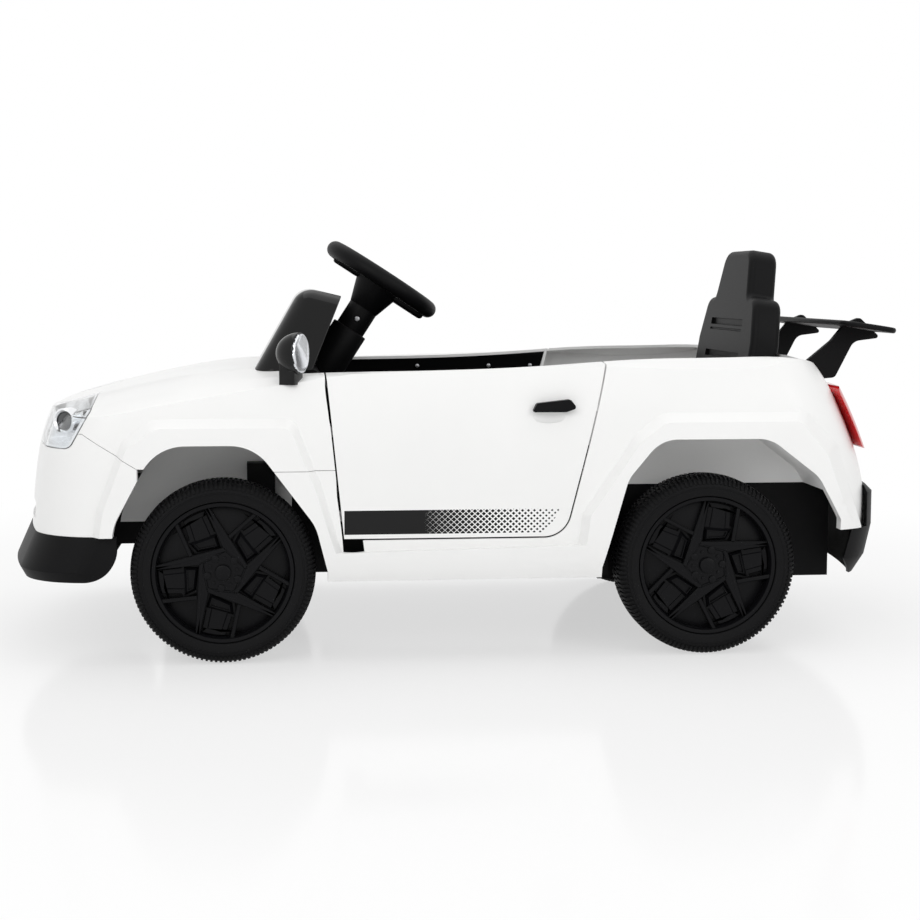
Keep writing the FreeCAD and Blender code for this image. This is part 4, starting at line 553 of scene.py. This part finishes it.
def block(name, size, centre, edge, segments=3):
    bpy.ops.object.select_all(action="DESELECT")
    bpy.ops.mesh.primitive_cube_add(size=1, location=Vector(centre) * MM)
    piece = bpy.context.object
    piece.name = name
    piece.scale = Vector(size) * MM
    settle(piece)
    return rounded(piece, edge, segments)


WHEEL_AT, COLUMN_LEAN = Vector((-82, 0, 457)) * MM, math.radians(33)
RING_R, GRIP_R = 73 * MM, 11 * MM
STEM_R, SCREW_DOWN = 20, -62
COLUMN = Matrix.Translation(WHEEL_AT) @ Matrix.Rotation(COLUMN_LEAN, 4, "Y")
bpy.ops.object.select_all(action="DESELECT")
bpy.ops.mesh.primitive_torus_add(major_radius=RING_R, minor_radius=GRIP_R, major_segments=96, minor_segments=24)
ring = smooth(bpy.context.object, 60)
parts = [ring, turned("hub", 31, -10, 12, 28, edge=4), turned("skirt", STEM_R, -46, -6, 33, edge=2),
         turned("stem", STEM_R, -84, -40), block("lower spoke", (52, 30, 22), (46, 0, -6), 4),
         block("upper rest", (40, 22, 14), (-48, 0, -8), 4)]
for sign in (-1, 1):
    parts.append(block("spoke", (30, 50, 14), (0, sign * 45, -1), 4))
wheel = placed(joined(parts, "steering_wheel_looks"), COLUMN)
finish(wheel, "steering_wheel_looks", "steering", "black_plastic", black_trim, "steering_wheel")

screw = peg("stem_screw", 3.4, -21.2, -18, sides=20)
placed(screw, COLUMN @ Matrix.Translation(Vector((0, 0, SCREW_DOWN)) * MM))
finish(screw, "stem_screw", "steering", "steel", zinc_steel)

horn = placed(turned("horn_pad", 20, 5, 13, 19, edge=1.5), COLUMN)
finish(horn, "horn_pad", "horn", SLOT_OF["horn_button"], gloss_black, "horn_button")
print("steering wheel", len(wheel.data.polygons), "faces")

# %% [markdown]
# ## Seat
# The seat back is a leaning moulding with a soft edge all round and two slots, each with a groove below it. Its
# solid is already right in outline, so it is copied, rounded more than the panels, and the slots are pressed
# into its face.

# %% Seat back with its slots
seat = rounded(panel_copy("seat_back"), 3.0, 3)
SEAT_X, SEAT_Z, SEAT_LEAN = 359, 215, math.tan(math.radians(9))
SLOTS = ((400, 9, 9, 168), (356, 9, 9, 180), (390, 3, 4, 168), (346, 3, 4, 180))
for z, height, depth, wide in SLOTS:
    cut(seat, block("slot", (depth, wide, height), (SEAT_X + (z - SEAT_Z) * SEAT_LEAN, 0, z), 0.8, 1))
finish(even_normals(smooth(seat)), "seat_back_looks", "body", "black_plastic", black_trim, "seat_back")

# %% [markdown]
# ## Lamps
# A headlamp is a metallised bowl behind a clear lens. In the bowl sits a dark projector with a bright ring. The
# lens and the bowl keep their solids' shape; only the projector is new.

# %% Headlamps and tail lamps
PROJECTOR_AT, PROJECTOR_TURN = (-470, 236, 289), math.radians(-27)
PROJECTOR_RING = [(11, 10), (11, -4), (13, -6.5), (15.5, -4), (15.5, 10)]
for side, sign in SIDES.items():
    for node, edge in (("headlight_lens_", 0.5), ("headlight_bowl_", 0.8), ("taillight_", 1.2)):
        lamp = even_normals(rounded(panel_copy(node + side), edge))
        slot = SLOT_OF[node + side]
        finish(lamp, node + side + "_looks", "body", slot, MATERIAL_OF[slot], node + side)
    x, y, z = PROJECTOR_AT
    aim = Matrix.Translation(Vector((x, sign * y, z)) * MM)
    aim = aim @ Matrix.Scale(-sign, 4, (0, 1, 0)) @ Matrix.Rotation(PROJECTOR_TURN, 4, "Z")
    barrel = placed(spun("projector_ring", PROJECTOR_RING, 48), aim)
    finish(smooth(barrel), "projector_ring_" + side, "body", "lamp_chrome", lamp_chrome)
    glass = placed(peg("projector_glass", 11, -3, 9, edge=2.5), aim)
    finish(glass, "projector_glass_" + side, "body", "gloss_black", dark_glass)
print("lamps done")

# %% [markdown]
# ## Mirrors, sleeve and small screws
# The mirror shells and the column sleeve are smooth copies. Each door's inner panel is held by three screws
# along its top, which show as small bright points.

# %% Mirrors, sleeve, screws
TRIM_FACE, SCREW_Z, SCREW_HALF = 230.4, 331, 1.2
SCREW_X = (-18, 88, 150)
for side, sign in SIDES.items():
    for node, edge in (("mirror_shell_", 1.2), ("mirror_glass_", 0.4)):
        slot = SLOT_OF[node + side]
        piece = rounded(panel_copy(node + side), edge, 2, 50)
        finish(piece, node + side + "_looks", "body", slot, MATERIAL_OF[slot], node + side)
    face = sign * TRIM_FACE
    heads = [peg("head", 3, face - SCREW_HALF, face + SCREW_HALF, x, SCREW_Z, 16, 0.5) for x in SCREW_X]
    finish(joined(heads, "trim_screws_" + side), "trim_screws_" + side, side + "_door", "steel", zinc_steel)
sleeve = rounded(panel_copy("column_sleeve"), 1.5)
finish(sleeve, "column_sleeve_looks", "body", "black_plastic", black_trim, "column_sleeve")
print("mirrors and sleeve done")

# %% [markdown]
# ## Floor, light and camera
# The car stands on a pale floor in even studio light. The camera stands where the photograph was taken.

# %% Floor
FLOOR_SIZE = 30
WHITE_FROM, WHITE_AT, WHITE_SHARE = 0.75, 1.5, 0.58


def sees_room(tree):
    """1 for rays that show the white room: the camera's own, and those through glass or off a glossy face."""
    path = add(tree, "ShaderNodeLightPath")
    seen = add(tree, "ShaderNodeMath", {0: path.outputs["Is Camera Ray"],
                                        1: path.outputs["Is Transmission Ray"]}, operation="MAXIMUM")
    seen = add(tree, "ShaderNodeMath", {0: seen.outputs["Value"], 1: path.outputs["Is Glossy Ray"]},
               operation="MAXIMUM")
    return seen.outputs["Value"]


bpy.ops.object.select_all(action="DESELECT")
bpy.ops.mesh.primitive_plane_add(size=FLOOR_SIZE)
floor = bpy.context.object
floor.name = "studio_floor"
# White lacquered board with a weak, slightly blurred reflection. Further out it is seen as plain white.
floor_paint = bpy.data.materials.new("white lacquered board")
floor_paint.use_nodes = True
tree = floor_paint.node_tree
shader = tree.nodes["Principled BSDF"]
shader.inputs["Base Color"].default_value = linear("#F8F8F8")
shader.inputs["Roughness"].default_value = 0.12
shader.inputs["Specular IOR Level"].default_value = 0.12
place = add(tree, "ShaderNodeTexCoord").outputs["Object"]
reach = add(tree, "ShaderNodeVectorMath", {0: place}, operation="LENGTH")
far = add(tree, "ShaderNodeMapRange", {"Value": reach.outputs["Value"], "From Min": WHITE_FROM,
                                       "From Max": WHITE_AT, "To Min": WHITE_SHARE},
          interpolation_type="SMOOTHSTEP")
share = add(tree, "ShaderNodeMath", {0: far.outputs["Result"], 1: sees_room(tree)}, operation="MULTIPLY")
white = add(tree, "ShaderNodeEmission", {"Strength": 1.0})
mixed = add(tree, "ShaderNodeMixShader", {"Fac": share.outputs["Value"], 1: shader.outputs["BSDF"],
                                          2: white.outputs["Emission"]})
tree.links.new(mixed.outputs["Shader"], tree.nodes["Material Output"].inputs["Surface"])
floor.data.materials.append(floor_paint)

# %% Light
ROOM_LIGHT, ROOM_SEEN = 0.63, 1.0
world = bpy.data.worlds.new("studio")
bpy.context.scene.world = world
world.use_nodes = True
sky = world.node_tree
for old in list(sky.nodes):
    sky.nodes.remove(old)
# The camera, glass and metal all see the white room; the car itself is lit a little less brightly.
strength = add(sky, "ShaderNodeMapRange", {"Value": sees_room(sky), "To Min": ROOM_LIGHT, "To Max": ROOM_SEEN})
light = add(sky, "ShaderNodeBackground", {"Color": (1.0, 1.0, 1.0, 1.0),
                                          "Strength": strength.outputs["Result"]})
add(sky, "ShaderNodeOutputWorld", {"Surface": light.outputs["Background"]})


def softbox(name, place, aim, size, watts):
    data = bpy.data.lights.new(name, "AREA")
    data.shape = "RECTANGLE"
    data.size, data.size_y = size
    data.energy = watts
    lamp = bpy.data.objects.new(name, data)
    lamp.location = place
    lamp.rotation_euler = (Vector(aim) - Vector(place)).to_track_quat("-Z", "Y").to_euler()
    bpy.context.collection.objects.link(lamp)


softbox("overhead", (0.1, 0.3, 2.6), (0, 0, 0), (3.2, 2.4), 18)
softbox("front_left", (-1.6, -2.8, 1.9), (0, 0, 0.25), (2.0, 1.6), 25)
softbox("front_right", (1.9, -2.6, 1.5), (0.1, 0, 0.25), (1.6, 1.4), 18)

# %% Camera
LENS, SENSOR = 68.15, 36
CAMERA_AT = Vector((-203.6, -2336.9, 449.7)) * MM
CAMERA_DOWN, CAMERA_TURN = 5.738, -5.544
camera_data = bpy.data.cameras.new("camera")
camera_data.lens = LENS
camera_data.sensor_width = SENSOR
camera = bpy.data.objects.new("camera", camera_data)
camera.location = CAMERA_AT
camera.rotation_euler = (math.radians(90 - CAMERA_DOWN), 0, math.radians(CAMERA_TURN))
bpy.context.collection.objects.link(camera)
bpy.context.scene.camera = camera
bpy.context.scene.view_settings.view_transform = "Standard"
